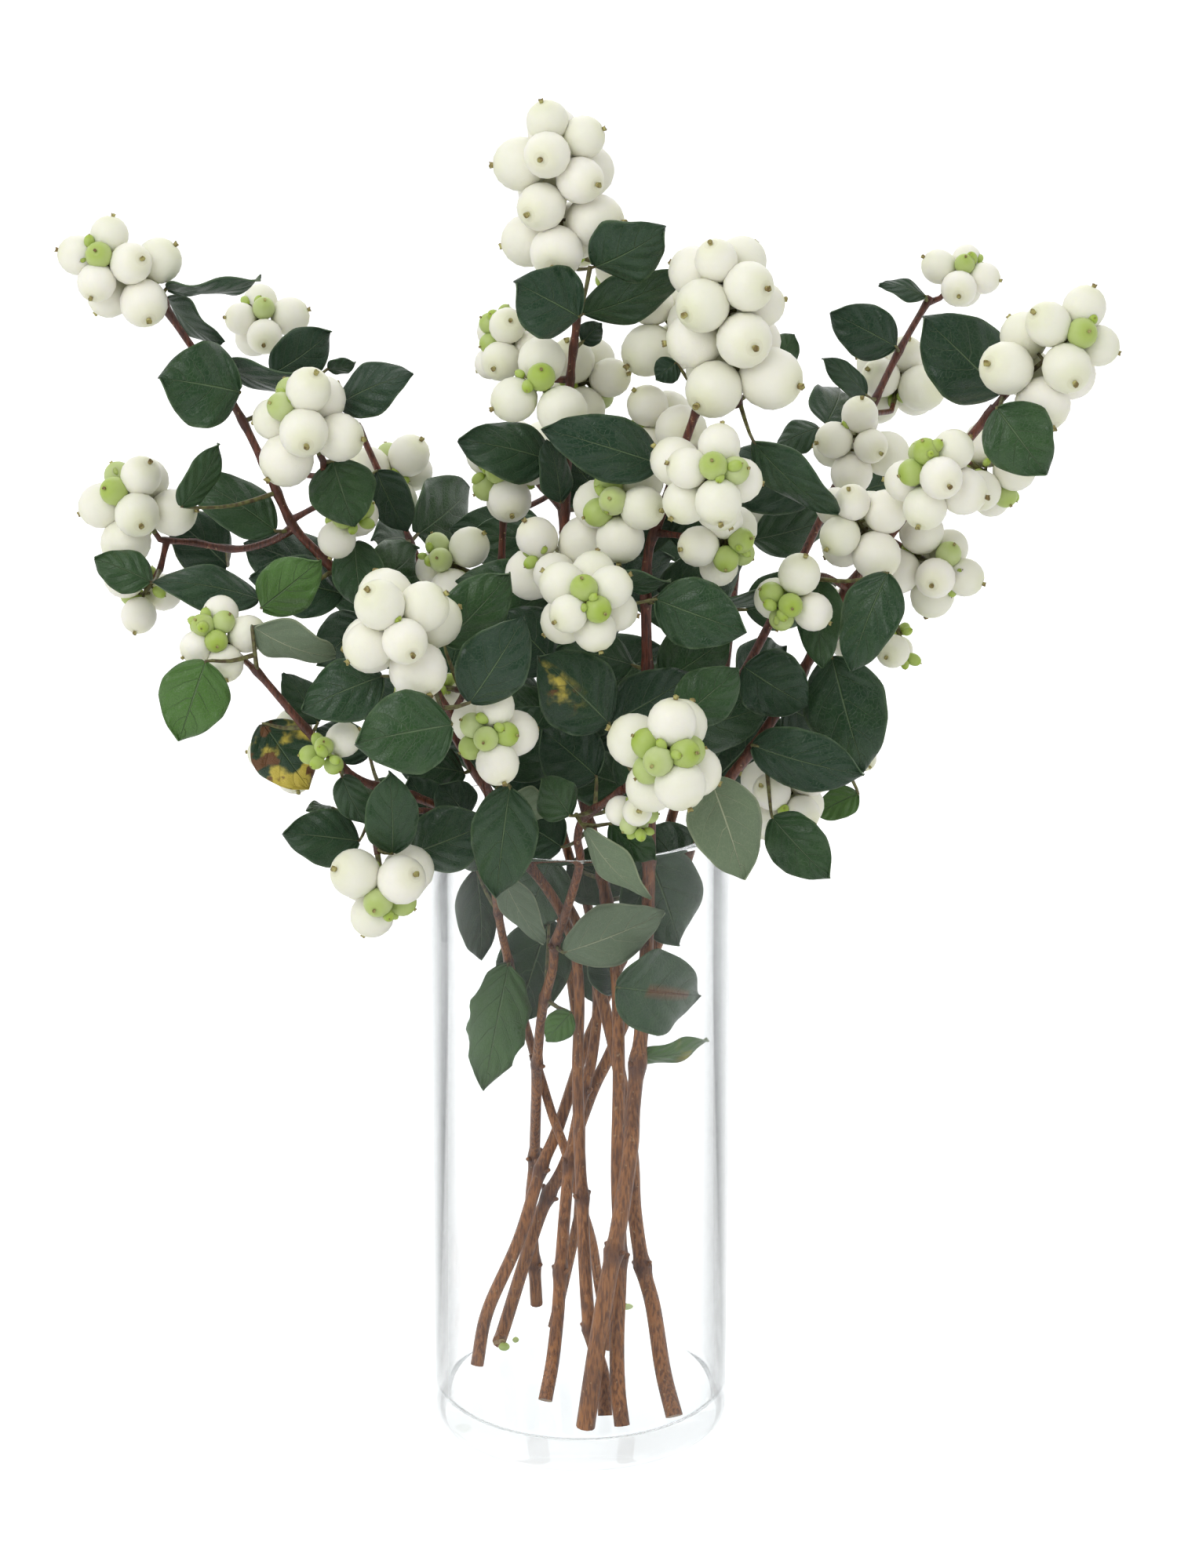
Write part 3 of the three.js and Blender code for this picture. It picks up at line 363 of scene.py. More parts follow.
# Bunches: place of the middle, direction of the tip, berries, ripe berry's width in mm, unripe ones
BUNCHES = [
    ["front_left", "stem_front_left", [505, 798, -76], [-30, -50, -20], 8, 15.5, 0],
    ["front_big", "stem_front", [850, 962, -84], [10, -10, -50], 11, 14.5, 5],
    ["centre_front", "stem_right_centre", [748, 768, -64], [-10, -10, -50], 9, 13, 2],
    ["right_front", "stem_right_centre", [908, 606, -56], [40, -20, -20], 10, 13.5, 2],
    ["right_centre_tip", "stem_right_centre", [928, 400, -28], [-8, -60, -2], 13, 16, 0],
    ["crown", "stem_crown", [711, 228, -6], [-4, -60, -2], 13, 15.8, 0],
    ["left_tip", "stem_left_long", [143, 340, -8], [-60, -35, -6], 10, 12.8, 1],
    ["far_right_tip", "stem_far_right", [1350, 442, -20], [50, -45, -2], 11, 14.8, 1],
    ["left_front_top", "stem_left_long", [382, 528, -28], [-30, -60, -6], 9, 14, 2],
    ["centre_left", "stem_front_left", [625, 930, -68], [10, -60, -12], 8, 12, 4],
    ["front_low_left", "stem_front_left", [490, 1142, -64], [10, 60, -6], 7, 14, 2],
    ["centre_green", "stem_right_centre", [784, 640, -34], [-40, -30, -14], 7, 14, 3],
    ["right_front_low", "stem_right_centre", [932, 694, -40], [50, 10, -10], 7, 12.5, 3],
    ["right_b", "stem_far_right", [1186, 596, -36], [-10, -55, -8], 9, 13, 3],
    ["left_upper", "stem_left_long", [166, 634, 2], [-35, -50, -6], 9, 14, 2],
    ["left_low", "stem_left_low", [272, 806, -50], [-50, -45, -8], 9, 11, 4],
    ["right_low", "stem_far_right", [1000, 770, -36], [-30, 30, -10], 6, 12, 3],
    ["right_d", "stem_far_right", [1092, 662, -26], [-30, -45, -8], 7, 13, 0],
    ["right_e", "stem_far_right", [1196, 724, -10], [50, 30, -6], 8, 13, 1],
    ["left_back_top", "stem_back_left", [330, 402, 50], [-40, -60, 0], 6, 11.5, 1],
    ["left_middle", "stem_left_long", [446, 660, -12], [40, 20, -10], 5, 12, 2],
    ["left_low_back", "stem_left_long", [180, 762, 8], [-20, 30, 4], 4, 12, 1],
    ["front_left_back", "stem_front_left", [540, 872, -42], [-60, -10, 6], 4, 12.5, 1],
    ["middle_back", "stem_left_centre", [560, 714, 12], [-50, -20, -4], 5, 12.5, 2],
    ["crown_below", "stem_crown", [757, 336, 10], [20, 10, 4], 2, 16, 0],
    ["crown_left", "stem_crown", [642, 426, 4], [-20, -60, 2], 10, 10.5, 4],
    ["crown_right", "stem_crown", [756, 486, 16], [60, -14, 6], 6, 14, 1],
    ["crown_low", "stem_crown", [684, 490, -12], [-40, -30, -8], 4, 13.5, 1],
    ["left_inner", "stem_left_centre", [636, 606, 10], [-50, -10, -4], 7, 13.5, 2],
    ["back_top", "stem_left_centre", [652, 566, 82], [-30, -50, 10], 5, 12.5, 0],
    ["centre_side", "stem_right_centre", [698, 712, -44], [-50, -20, -10], 4, 14.5, 0],
    ["right_centre_back", "stem_right_centre", [848, 406, -2], [-30, -50, 6], 5, 14, 0],
    ["right_upper", "stem_right_centre", [838, 540, 4], [-40, -10, 0], 4, 14, 0],
    ["right_under", "stem_far_right", [1000, 1022, -26], [-10, 40, -10], 6, 13, 0],
    ["right_back_tip", "stem_right_back", [1232, 346, 76], [50, -50, 0], 6, 10.5, 1],
    ["right_back_middle", "stem_right_back", [1148, 476, 80], [10, -40, 10], 7, 13, 0],
    ["right_a", "stem_right_back", [1092, 556, 34], [0, -50, -8], 7, 12.5, 0],
    ["right_c", "stem_far_right", [1272, 612, 4], [50, 30, 6], 7, 12.5, 1],
    ["right_f", "stem_far_right", [1150, 826, -6], [10, 40, 0], 2, 9, 0],
    ["right_g", "stem_far_right", [1096, 956, -2], [30, 20, 0], 2, 9, 0],
    ["left_under", "stem_left_low", [364, 966, -18], [-20, 30, 8], 4, 11, 0],
    ["left_green", "stem_left_low", [414, 962, -60], [10, 20, -20], 4, 9.5, 3],
    ["sprig_low", "stem_front", [812, 1046, -72], [4, 40, -2], 5, 8.5, 3],
    ["back_left", "stem_back_left", [500, 600, 86], [-10, -40, 30], 6, 13, 1],
    ["back_right", "stem_right_back", [950, 630, 96], [10, -40, 20], 6, 13.5, 1],
    ["back_centre", "stem_left_centre", [740, 730, 88], [20, -10, 50], 6, 14, 1],
    ["back_low", "stem_back_left", [615, 800, 74], [-10, 10, 50], 5, 13, 1],
    ["back_right_low", "stem_far_right", [1075, 780, 56], [10, -30, 30], 5, 12.5, 1],
]

# Leaves by stem: base and tip as across, down, depth, width in mm, roll about the midrib in degrees
LEAVES = {
    "stem_left_long": [
        [[212, 368, -6], [333, 354, -14], 15, 72], [[214, 380, -10], [284, 438, -20], 14, 55],
        [[306, 500, -6], [202, 482, -12], 27, 8], [[283, 464, -10], [440, 496, -16], 16, 60],
        [[418, 470, -2], [453, 462, -4], 7, 40], [[348, 476, 10], [422, 422, 18], 17, 20],
        [[432, 516, -14], [527, 476, -20], 17, -25], [[424, 587, -56], [452, 672, -58], 21, 5],
        [[480, 600, -8], [520, 678, -12], 15, 20], [[231, 646, -8], [279, 565, -2], 12, 35],
        [[351, 677, -12], [238, 606, -6], 18, 20], [[290, 722, -14], [214, 655, -18], 19, 10],
        [[192, 742, 2], [120, 712, 6], 14, 15], [[330, 764, -24], [194, 742, -28], 16, 30],
        [[333, 775, -36], [408, 714, -42], 18, 5], [[422, 738, 6], [310, 692, 10], 22, 20],
        [[452, 690, -8], [462, 778, -10], 17, 10], [[470, 790, 14], [404, 848, 16], 18, 10],
        [[520, 850, 16], [470, 770, 18], 18, 10], [[556, 905, 14], [588, 800, 12], 20, 10],
        [[600, 960, 12], [566, 870, 10], 18, 15],
    ],
    "stem_left_low": [
        [[458, 1072, -48], [360, 1062, -52], 18, 5], [[322, 798, -48], [428, 836, -38], 17, 48],
        [[262, 843, -50], [228, 945, -54], 21, 0], [[335, 922, -52], [394, 1006, -52], 20, 0],
        [[405, 922, -26], [360, 858, -22], 13, 25], [[436, 990, -44], [468, 1052, -42], 12, 20],
        [[424, 1030, -36], [390, 1034, -40], 9, 60], [[470, 962, -26], [402, 928, -22], 14, 20],
        [[560, 1062, -16], [520, 990, -14], 18, 15], [[520, 1030, -35], [452, 1010, -25], 16, 30],
        [[640, 1100, -4], [580, 1060, 4], 20, 15],
    ],
    "stem_front_left": [
        [[488, 862, -56], [384, 906, -60], 20, 12], [[576, 924, -64], [452, 948, -70], 25, 5],
        [[500, 1088, -62], [496, 984, -66], 17, 10], [[524, 1088, -52], [630, 1046, -56], 21, 8],
        [[650, 1003, -62], [633, 1144, -60], 20, 5], [[566, 820, -46], [650, 730, -46], 20, 10],
        [[598, 896, -50], [668, 786, -50], 21, 10], [[600, 1118, 8], [606, 1234, 10], 18, -25],
        [[646, 1238, 1], [614, 1396, 1], 22, 0], [[640, 1114, -28], [694, 1206, -24], 12, 30],
        [[596, 1046, -40], [560, 1000, -46], 16, 20], [[640, 990, -26], [700, 900, -22], 24, 10],
        [[648, 1020, -36], [708, 1034, -36], 14, 40], [[630, 950, -20], [600, 880, -14], 18, 10],
    ],
    "stem_front": [
        [[726, 1040, -50], [690, 992, -54], 14, 10], [[776, 922, -46], [686, 836, -50], 25, 5],
        [[866, 916, -52], [942, 852, -52], 18, 5], [[776, 922, -56], [882, 858, -44], 19, 15],
        [[905, 992, -76], [948, 1122, -78], 22, -8], [[746, 1056, -56], [830, 1146, -60], 15, 52],
        [[778, 1050, -66], [836, 1096, -66], 12, 20], [[718, 1218, -14], [848, 1166, -10], 19, 15],
        [[698, 1186, 21], [654, 1316, 21], 25, 0], [[728, 1296, -2], [696, 1332, -4], 10, 10],
        [[760, 990, -38], [690, 930, -34], 22, 10], [[800, 1020, -30], [870, 930, -22], 24, 10],
    ],
    "stem_right_centre": [
        [[836, 764, -50], [952, 806, -56], 21, 5], [[832, 768, -42], [1002, 750, -34], 15, 70],
        [[760, 736, -52], [856, 740, -58], 13, 62], [[824, 1090, -8], [868, 1212, -4], 28, -10],
        [[784, 1258, -39], [892, 1272, -12], 26, 0], [[814, 1350, -23], [904, 1328, -14], 12, 55],
        [[842, 592, -36], [690, 546, -42], 20, 5], [[960, 562, -33], [1070, 654, -28], 16, 38],
        [[986, 466, -14], [1012, 426, -10], 11, 20], [[862, 462, 12], [836, 484, 12], 9, 10],
        [[790, 1270, 2], [746, 1212, -2], 14, 35], [[850, 960, -8], [930, 900, 0], 22, 10],
        [[842, 870, -2], [930, 810, 4], 22, 10], [[818, 1010, 0], [740, 960, 4], 23, 10],
        [[812, 900, -2], [730, 850, 2], 23, 10],
    ],
    "stem_crown": [
        [[758, 340, -16], [848, 292, -26], 22, 20], [[742, 400, -6], [874, 346, -14], 16, 25],
        [[738, 404, -24], [656, 360, -30], 23, 5], [[742, 436, 2], [766, 412, 6], 8, 0],
        [[714, 640, 4], [696, 560, 8], 12, 30], [[770, 640, 6], [716, 576, 4], 18, 15],
        [[708, 694, 10], [598, 680, 6], 17, 10], [[708, 850, -6], [640, 780, -8], 23, 10],
        [[720, 930, 2], [790, 850, 6], 23, 10], [[724, 1110, 8], [806, 1140, 12], 24, 10],
        [[716, 1080, 12], [650, 1040, 16], 20, 10], [[704, 1098, -6], [670, 1196, 8], 20, 10],
        [[876, 1124, 16], [824, 1050, -2], 22, 10],
    ],
    "stem_right_back": [
        [[1142, 442, 68], [1058, 398, 66], 18, 5], [[1180, 378, 72], [1120, 363, 70], 9, 45],
        [[1104, 504, 62], [1048, 457, 58], 10, 30], [[1044, 546, 44], [988, 572, 44], 12, 30],
        [[758, 1208, 31], [764, 1298, 33], 17, 5],
    ],
    "stem_far_right": [
        [[1276, 502, -22], [1176, 404, -24], 27, 5], [[1270, 520, -31], [1334, 606, -37], 22, 0],
        [[1044, 736, -40], [1048, 852, -44], 15, 15], [[1132, 730, -34], [1084, 856, -38], 19, 15],
        [[1060, 836, -14], [1102, 984, -18], 26, 8], [[958, 950, -16], [1102, 988, -22], 20, 15],
        [[1094, 1012, 2], [1040, 1040, 0], 11, 20], [[948, 850, -14], [1030, 900, -16], 22, 10],
        [[905, 1000, 8], [980, 920, 14], 23, 10], [[1000, 900, 4], [1068, 930, 10], 18, 15],
        [[984, 1042, -30], [1058, 1120, -38], 18, 10],
    ],
}

# Leaf pairs that fill the heart and the back: stem, heights in mm, turn of the pair in degrees
PAIRS = [
    ["stem_left_centre", [204, 222, 240, 258, 276], -30],
    ["stem_back_left", [206, 225, 243, 262], 12],
    ["stem_right_back", [204, 222, 240, 258, 278, 300], -10],
    ["stem_crown", [206, 224, 242, 260, 280, 302], -20],
    ["stem_right_centre", [206, 224, 244, 264, 284], -40],
    ["stem_left_long", [206, 224, 242, 262], -15],
]

# Leaves that differ from a plain dark one, by stem and row
LOOKS = {
    ("stem_left_low", 1): LeafLook.UNDERSIDE,
    ("stem_left_low", 2): LeafLook.LIGHT,
    ("stem_left_low", 3): LeafLook.SPOTTED,
    ("stem_left_long", 14): LeafLook.LIGHT,
    ("stem_front", 1): LeafLook.BROWNED,
    ("stem_front", 4): LeafLook.UNDERSIDE,
    ("stem_front", 5): LeafLook.UNDERSIDE,
    ("stem_front", 7): LeafLook.UNDERSIDE,
    ("stem_front", 9): LeafLook.LIGHT,
    ("stem_far_right", 6): LeafLook.LIGHT,
    ("stem_right_centre", 4): LeafLook.SLIT,
    ("stem_right_centre", 5): LeafLook.YELLOWING,
    ("stem_front_left", 8): LeafLook.LOBED,
    ("stem_front_left", 9): LeafLook.UNDERSIDE,
    ("stem_front_left", 12): LeafLook.UNDERSIDE,
}

# Share of the fresh colour in leaves that differ in tone
TONES = {LeafLook.LIGHT: 0.95, LeafLook.YELLOWING: 1.1, LeafLook.LOBED: 0.55}

# Heights in the view of the knots seen on the stems in the vase
KNOTS = {
    "stem_right_back": [1498],
    "stem_far_right": [1531],
    "stem_front": [1619, 1484, 1364, 1209],
    "stem_left_centre": [1625, 1488, 1398],
    "stem_left_low": [1695, 1530],
    "stem_right_centre": [1594, 1362],
    "stem_crown": [1603],
    "stem_left_long": [1616],
}

# Small fallen buds on the vase's floor: across and down, and three radii in mm
FALLEN = [([801, 1672], (2.6, 1.1, 1.0)), ([640, 1720], (1.9, 1.7, 1.2)), ([655, 1712], (1.1, 0.9, 0.9))]
FALLEN_SEED = 7
FALLEN_UNRIPE = (0.7, 1.0)

EYE = Eye()
ROOM = RoomRule()
ROD = RodRule()
STALK = StalkRule()
BUNCH = BunchRule()
BLADE = BladeRule()
MARK = MarkRule()


def unit(vector: np.ndarray) -> np.ndarray:
    """The vector at length one."""
    return vector / np.linalg.norm(vector)


def turned(vector: np.ndarray, axis: np.ndarray, angle: float) -> np.ndarray:
    """A vector turned about an axis of length one by an angle in radians."""
    kept = axis * (axis @ vector) * (1 - math.cos(angle))
    return vector * math.cos(angle) + np.cross(axis, vector) * math.sin(angle) + kept


def beside(axis: np.ndarray) -> np.ndarray:
    """A vector of length one, square to an axis."""
    return unit(np.cross(axis, UP if abs(axis[2]) < BUNCH.nearly_up else RIGHT))


def shifted(spot: Sequence[float], shift: float) -> list:
    """A spot moved in depth."""
    return [spot[0], spot[1], spot[2] + shift]


class Stream:
    """A seeded stream of numbers from 0 to 1, the same in every run."""

    WRAP = 0xFFFFFFFF
    STEP = 0x6D2B79F5
    SHIFTS = (15, 7, 14)
    LOW_BITS = 61

    def __init__(self, seed: int) -> None:
        """Start the stream at a seed."""
        self.state = seed & self.WRAP

    def __call__(self) -> float:
        """The next number."""
        first, second, last = self.SHIFTS
        self.state = (self.state + self.STEP) & self.WRAP
        mixed = ((self.state ^ (self.state >> first)) * (self.state | 1)) & self.WRAP
        low = mixed | self.LOW_BITS
        mixed ^= (mixed + ((mixed ^ (mixed >> second)) * low & self.WRAP)) & self.WRAP
        return ((mixed ^ (mixed >> last)) & self.WRAP) / (self.WRAP + 1)

    def between(self, low: float, high: float) -> float:
        """The next number, spread from low to high."""
        return low + (high - low) * self()


def smooth_route(points: list, step: float) -> list:
    """A smooth route through given points.

    Args:
        points: Points in mm, in order.
        step: Wanted distance between the route's points in mm.

    Returns:
        The route's points, one or more to each span.
    """
    ends = [2 * points[0] - points[1], *points, 2 * points[-1] - points[-2]]
    route = [points[0]]
    for i in range(len(points) - 1):
        p0, p1, p2, p3 = ends[i:i + 4]
        start, finish = 0.5 * (p2 - p0), 0.5 * (p3 - p1)
        parts = max(1, math.floor(np.linalg.norm(p2 - p1) / step + 0.5))
        for k in range(1, parts + 1):
            t = k / parts
            cubic = (2 * p1 - 2 * p2 + start + finish) * t ** 3
            square = (3 * p2 - 3 * p1 - 2 * start - finish) * t ** 2
            route.append(p1 + start * t + square + cubic)
    return route


def taper(route: list, thick: float, thin: float, power: float) -> list:
    """Radii in mm that narrow from a rod's foot to its tip."""
    last = len(route) - 1
    return [(thick + (thin - thick) * (i / last) ** power) / 2 for i in range(last + 1)]


@dataclass
class Balls:
    """Balls that stand for a piece when room is tested."""

    at: list = field(default_factory=list)
    room: list = field(default_factory=list)
    owner: list = field(default_factory=list)
    kind: list = field(default_factory=list)

    def add(self, at: np.ndarray, room: float, owner: str, kind: Kind) -> None:
        """Add one ball."""
        self.at.append(at)
        self.room.append(room)
        self.owner.append(owner)
        self.kind.append(kind.value)

    def add_rod(self, points: list, radii: list, owner: str) -> None:
        """Add the balls of a rod of wood."""
        for i in range(len(points) - 1):
            parts = max(1, math.ceil(np.linalg.norm(points[i + 1] - points[i]) / ROOM.ball_step))
            for k in range(parts):
                share = k / parts
                radius = radii[i] + (radii[i + 1] - radii[i]) * share
                at = points[i] + (points[i + 1] - points[i]) * share
                self.add(at, radius + ROOM.wood, owner, Kind.WOOD)

    def extend(self, other: "Balls") -> None:
        """Take in the balls of another piece."""
        self.at += other.at
        self.room += other.room
        self.owner += other.owner
        self.kind += other.kind


@dataclass(frozen=True)
class VaseSize:
    """Sizes of the vase in mm."""

    radius: float = 45
    height: float = 195
    wall: float = 3
    floor: float = 10
    foot_round: float = 4.5
    rim_round: float = 1.2
    floor_round: float = 3
    sides: int = 96
    foot_steps: int = 8
    rim_steps: int = 4
    floor_steps: int = 6
    slack: float = 0.01

    def bitten(self, at: np.ndarray, room: np.ndarray) -> bool:
        """Whether any ball reaches into the glass."""
        reach = np.hypot(at[:, 0], at[:, 1])
        outside = self.radius + room - reach
        inside = reach + room - (self.radius - self.wall)
        low = self.floor + room - at[:, 2]
        depth = np.minimum(outside, np.maximum(inside, low))
        return bool(((at[:, 2] - room <= self.height) & (depth > 0)).any())


VASE = VaseSize()


class Arrangement:
    """Everything placed so far, and the rule that finds room for more."""

    def __init__(self) -> None:
        """Start empty."""
        self.placed = Balls()

    def bites(self, balls: Balls, root: np.ndarray) -> bool:
        """Whether a new piece would reach into the glass or another piece.

        Args:
            balls: The balls of the new piece.
            root: Where it grows from its own stem, near which it may touch that stem.

        Returns:
            True where it finds no room.
        """
        at, room = np.array(balls.at), np.array(balls.room)
        if VASE.bitten(at, room):
            return True
        far = room.max() + ROOM.between_blades + max(self.placed.room)
        there = np.array(self.placed.at)
        near = ((there > at.min(axis=0) - far) & (there < at.max(axis=0) + far)).all(axis=1)
        if not near.any():
            return False
        there = there[near]
        kind = np.array(self.placed.kind)[near]
        owner = np.array(self.placed.owner)[near]
        own_kind = np.array(balls.kind)
        need = room[:, None] + np.array(self.placed.room)[near][None, :]
        blade = Kind.BLADE.value
        need[(own_kind == blade)[:, None] & (kind == blade)[None, :]] = ROOM.between_blades
        wood = Kind.WOOD.value
        same = (kind == wood)[None, :] & (np.array(balls.owner)[:, None] == owner[None, :])
        at_root = np.linalg.norm(there - root, axis=1) < ROOM.root_reach
        free = same & ((own_kind == wood)[:, None] | at_root[None, :])
        gap = np.linalg.norm(at[:, None, :] - there[None, :, :], axis=2)
        return bool(((gap < need) & ~free).any())

    def settle(self, make: Callable[[float], "Bunch | Leaf"]) -> "Bunch | Leaf | None":
        """Place a piece at the first shift in depth that leaves it clear.

        Args:
            make: Makes the piece for a shift in mm.

        Returns:
            The piece, or None where there is no room.
        """
        for shift in ROOM.shifts:
            piece = make(shift)
            if not self.bites(piece.balls, piece.root):
                self.placed.extend(piece.balls)
                return piece
        return None

    def wood_of(self, owner: str) -> np.ndarray:
        """Places of all wood of a stem, in the order of placing."""
        rows = zip(self.placed.at, self.placed.owner, self.placed.kind)
        return np.array([at for at, own, kind in rows if own == owner and kind == Kind.WOOD.value])

    def nearest_wood(self, owner: str, target: np.ndarray) -> np.ndarray:
        """The point of a stem's wood that a twig or stalk grows from, with a liking for points below."""
        wood = self.wood_of(owner)
        above = np.maximum(0, wood[:, 2] - target[2])
        cost = np.linalg.norm(wood - target, axis=1) + ROD.liking_for_below * above
        return wood[int(np.argmin(cost))]


def deselect() -> None:
    """Leave nothing selected."""
    bpy.ops.object.select_all(action="DESELECT")


def make_active(obj: bpy.types.Object) -> None:
    """Select one object alone and make it the active one."""
    deselect()
    obj.select_set(True)
    bpy.context.view_layer.objects.active = obj


def pick(kind: str, test: Callable[[object], bool]) -> None:
    """Select, in edit mode, the faces or the edges that pass a test.

    Args:
        kind: FACE or EDGE.
        test: Says whether a face or an edge is wanted.
    """
    bpy.ops.mesh.select_mode(type=kind)
    bpy.ops.mesh.select_all(action="DESELECT")
    mesh = bpy.context.edit_object.data
    shape = bmesh.from_edit_mesh(mesh)
    for part in shape.faces if kind == "FACE" else shape.edges:
        part.select_set(test(part))
    bmesh.update_edit_mesh(mesh)


def copy_of(model: bpy.types.Object, name: str) -> bpy.types.Object:
    """A copy of a model with its own mesh."""
    copy = model.copy()
    copy.data = model.data.copy()
    copy.name = name
    bpy.context.collection.objects.link(copy)
    return copy


def joined(parts: list, name: str) -> bpy.types.Object:
    """Join objects into one piece with smooth faces.

    Args:
        parts: Objects, all unturned and unscaled at the origin.
        name: The piece's name.

    Returns:
        The joined object.
    """
    make_active(parts[0])
    for part in parts:
        part.select_set(True)
    if len(parts) > 1:
        bpy.ops.object.join()
    piece = bpy.context.view_layer.objects.active
    piece.name = name
    piece.data.name = name
    bpy.ops.object.shade_smooth()
    return piece


def tag(mesh: bpy.types.Mesh, name: str, values: "float | np.ndarray") -> None:
    """Give every point of a mesh a value under a name."""
    layer = mesh.attributes.get(name) or mesh.attributes.new(name=name, type="FLOAT", domain="POINT")
    layer.data.foreach_set("value", np.broadcast_to(values, len(mesh.vertices)).astype(np.float32))


def tubes(name: str, rods: Iterable, sides: int, finish: bpy.types.Material) -> bpy.types.Object:
    """Round tapered rods as one mesh.

    Args:
        name: Name of the object.
        rods: Pairs of points and radii, both in mm.
        sides: Sides of every rod, an even number of four or more.
        finish: Its material.

    Returns:
        The mesh object.
    """
    curve = bpy.data.curves.new(name, "CURVE")
    curve.dimensions = "3D"
    curve.bevel_depth = MM
    curve.bevel_resolution = sides // 2 - 2
    curve.use_fill_caps = True
    for points, radii in rods:
        spline = curve.splines.new("POLY")
        spline.points.add(len(points) - 1)
        for spot, point, radius in zip(spline.points, points, radii):
            spot.co = (*(np.asarray(point) * MM), 1)
            spot.radius = radius
    obj = bpy.data.objects.new(name, curve)
    bpy.context.collection.objects.link(obj)
    make_active(obj)
    bpy.ops.object.convert(target="MESH")
    obj = bpy.context.view_layer.objects.active
    obj.data.materials.clear()
    obj.data.materials.append(finish)
    return obj


class Wiring:
    """Short calls for the nodes of one tree."""

    def __init__(self, tree: bpy.types.NodeTree) -> None:
        """Work on a tree."""
        self.tree = tree

    def add(self, kind: str, inputs: Optional[dict] = None, **props: object) -> bpy.types.Node:
        """Add a node.

        Args:
            kind: The node's type.
            inputs: Values or output sockets by the name or number of the input.
            props: The node's own settings.

        Returns:
            The node.
        """
        node = self.tree.nodes.new(kind)
        for name, value in props.items():
            setattr(node, name, value)
        for key, value in (inputs or {}).items():
            if isinstance(value, bpy.types.NodeSocket):
                self.tree.links.new(value, node.inputs[key])
            else:
                node.inputs[key].default_value = value
        return node

    def calc(self, operation: str, *values: object) -> bpy.types.NodeSocket:
        """The result of a sum of one, two or three values."""
        node = self.add("ShaderNodeMath", dict(enumerate(values)), operation=operation)
        return node.outputs[0]

    def mix(self, share: object, low: object, high: object) -> bpy.types.NodeSocket:
        """A colour between two colours."""
        node = self.add("ShaderNodeMix", {0: share, 6: low, 7: high}, data_type="RGBA")
        return node.outputs[2]

    def ease(self, value: object, start: object, end: object) -> bpy.types.NodeSocket:
        """A smooth step from 0 at start to 1 at end."""
        node = self.add("ShaderNodeMapRange", {0: value, 1: start, 2: end}, interpolation_type="SMOOTHSTEP")
        return node.outputs[0]

    def noise(self, where: object, scale: float, detail: float = 2) -> bpy.types.NodeSocket:
        """A soft noise from 0 to 1."""
        return self.add("ShaderNodeTexNoise", {"Vector": where, "Scale": scale, "Detail": detail}).outputs[0]

    def patches(self, where: object, cloud: "Cloud") -> bpy.types.NodeSocket:
        """Patches of a noise, with soft edges."""
        return self.ease(self.noise(where, cloud.scale, cloud.detail), cloud.start, cloud.end)

    def swing(self, noise: object, spread: float, middle: float = 0.0) -> bpy.types.NodeSocket:
        """A noise spread about a middle."""
        return self.calc("MULTIPLY_ADD", noise, spread, middle - spread / 2)

    def mark(self, name: str) -> bpy.types.NodeSocket:
        """A value that the mesh carries under a name."""
        return self.add("ShaderNodeAttribute", attribute_name=name).outputs["Fac"]

    def place(self) -> bpy.types.NodeSocket:
        """The place on the object."""
        return self.add("ShaderNodeTexCoord").outputs["Object"]

    def stretched(self, where: object, scale: Sequence[float]) -> bpy.types.NodeSocket:
        """A place with each direction scaled."""
        return self.add("ShaderNodeMapping", {"Vector": where, "Scale": scale}).outputs[0]

    def relief(self, height: object, distance: float, strength: float = 1.0) -> bpy.types.NodeSocket:
        """A normal with fine relief."""
        inputs = {"Height": height, "Distance": distance, "Strength": strength}
        return self.add("ShaderNodeBump", inputs).outputs[0]


# Finishes. A pair of numbers is a range, a noise's scale and detail, or a factor and what is added
@dataclass(frozen=True)
class Cloud:
    """A noise, and the range of its values over which its patches set in."""

    scale: float
    detail: float
    start: float
    end: float


def new_finish(name: str, fixed: dict, varying: Callable[[Wiring], dict]) -> bpy.types.Material:
    """A material on the Principled shader.

    Args:
        name: The material's name.
        fixed: Values set on the shader's own sockets.
        varying: Builds the sockets that change over the surface.

    Returns:
        The material.
    """
    material = bpy.data.materials.new(name)
    material.use_nodes = True
    wiring = Wiring(material.node_tree)
    shader = material.node_tree.nodes["Principled BSDF"]
    for key, value in fixed.items():
        shader.inputs[key].default_value = value
    for key, socket in varying(wiring).items():
        material.node_tree.links.new(socket, shader.inputs[key])
    return material


def group_of(name: str, inputs: dict, outputs: Sequence[str]) -> tuple:
    """A node group with named number sockets.

    Args:
        name: The group's name.
        inputs: First value of each input by name; None makes it a vector.
        outputs: Names of the outputs.

    Returns:
        The group, its wiring, its input node and its output node.
    """
    group = bpy.data.node_groups.new(name, "ShaderNodeTree")
    for key, value in inputs.items():
        kind = "NodeSocketVector" if value is None else "NodeSocketFloat"
        socket = group.interface.new_socket(name=key, in_out="INPUT", socket_type=kind)
        if value is not None:
            socket.default_value = value
    for key in outputs:
        group.interface.new_socket(name=key, in_out="OUTPUT", socket_type="NodeSocketFloat")
    wiring = Wiring(group)
    return group, wiring, wiring.add("NodeGroupInput"), wiring.add("NodeGroupOutput")


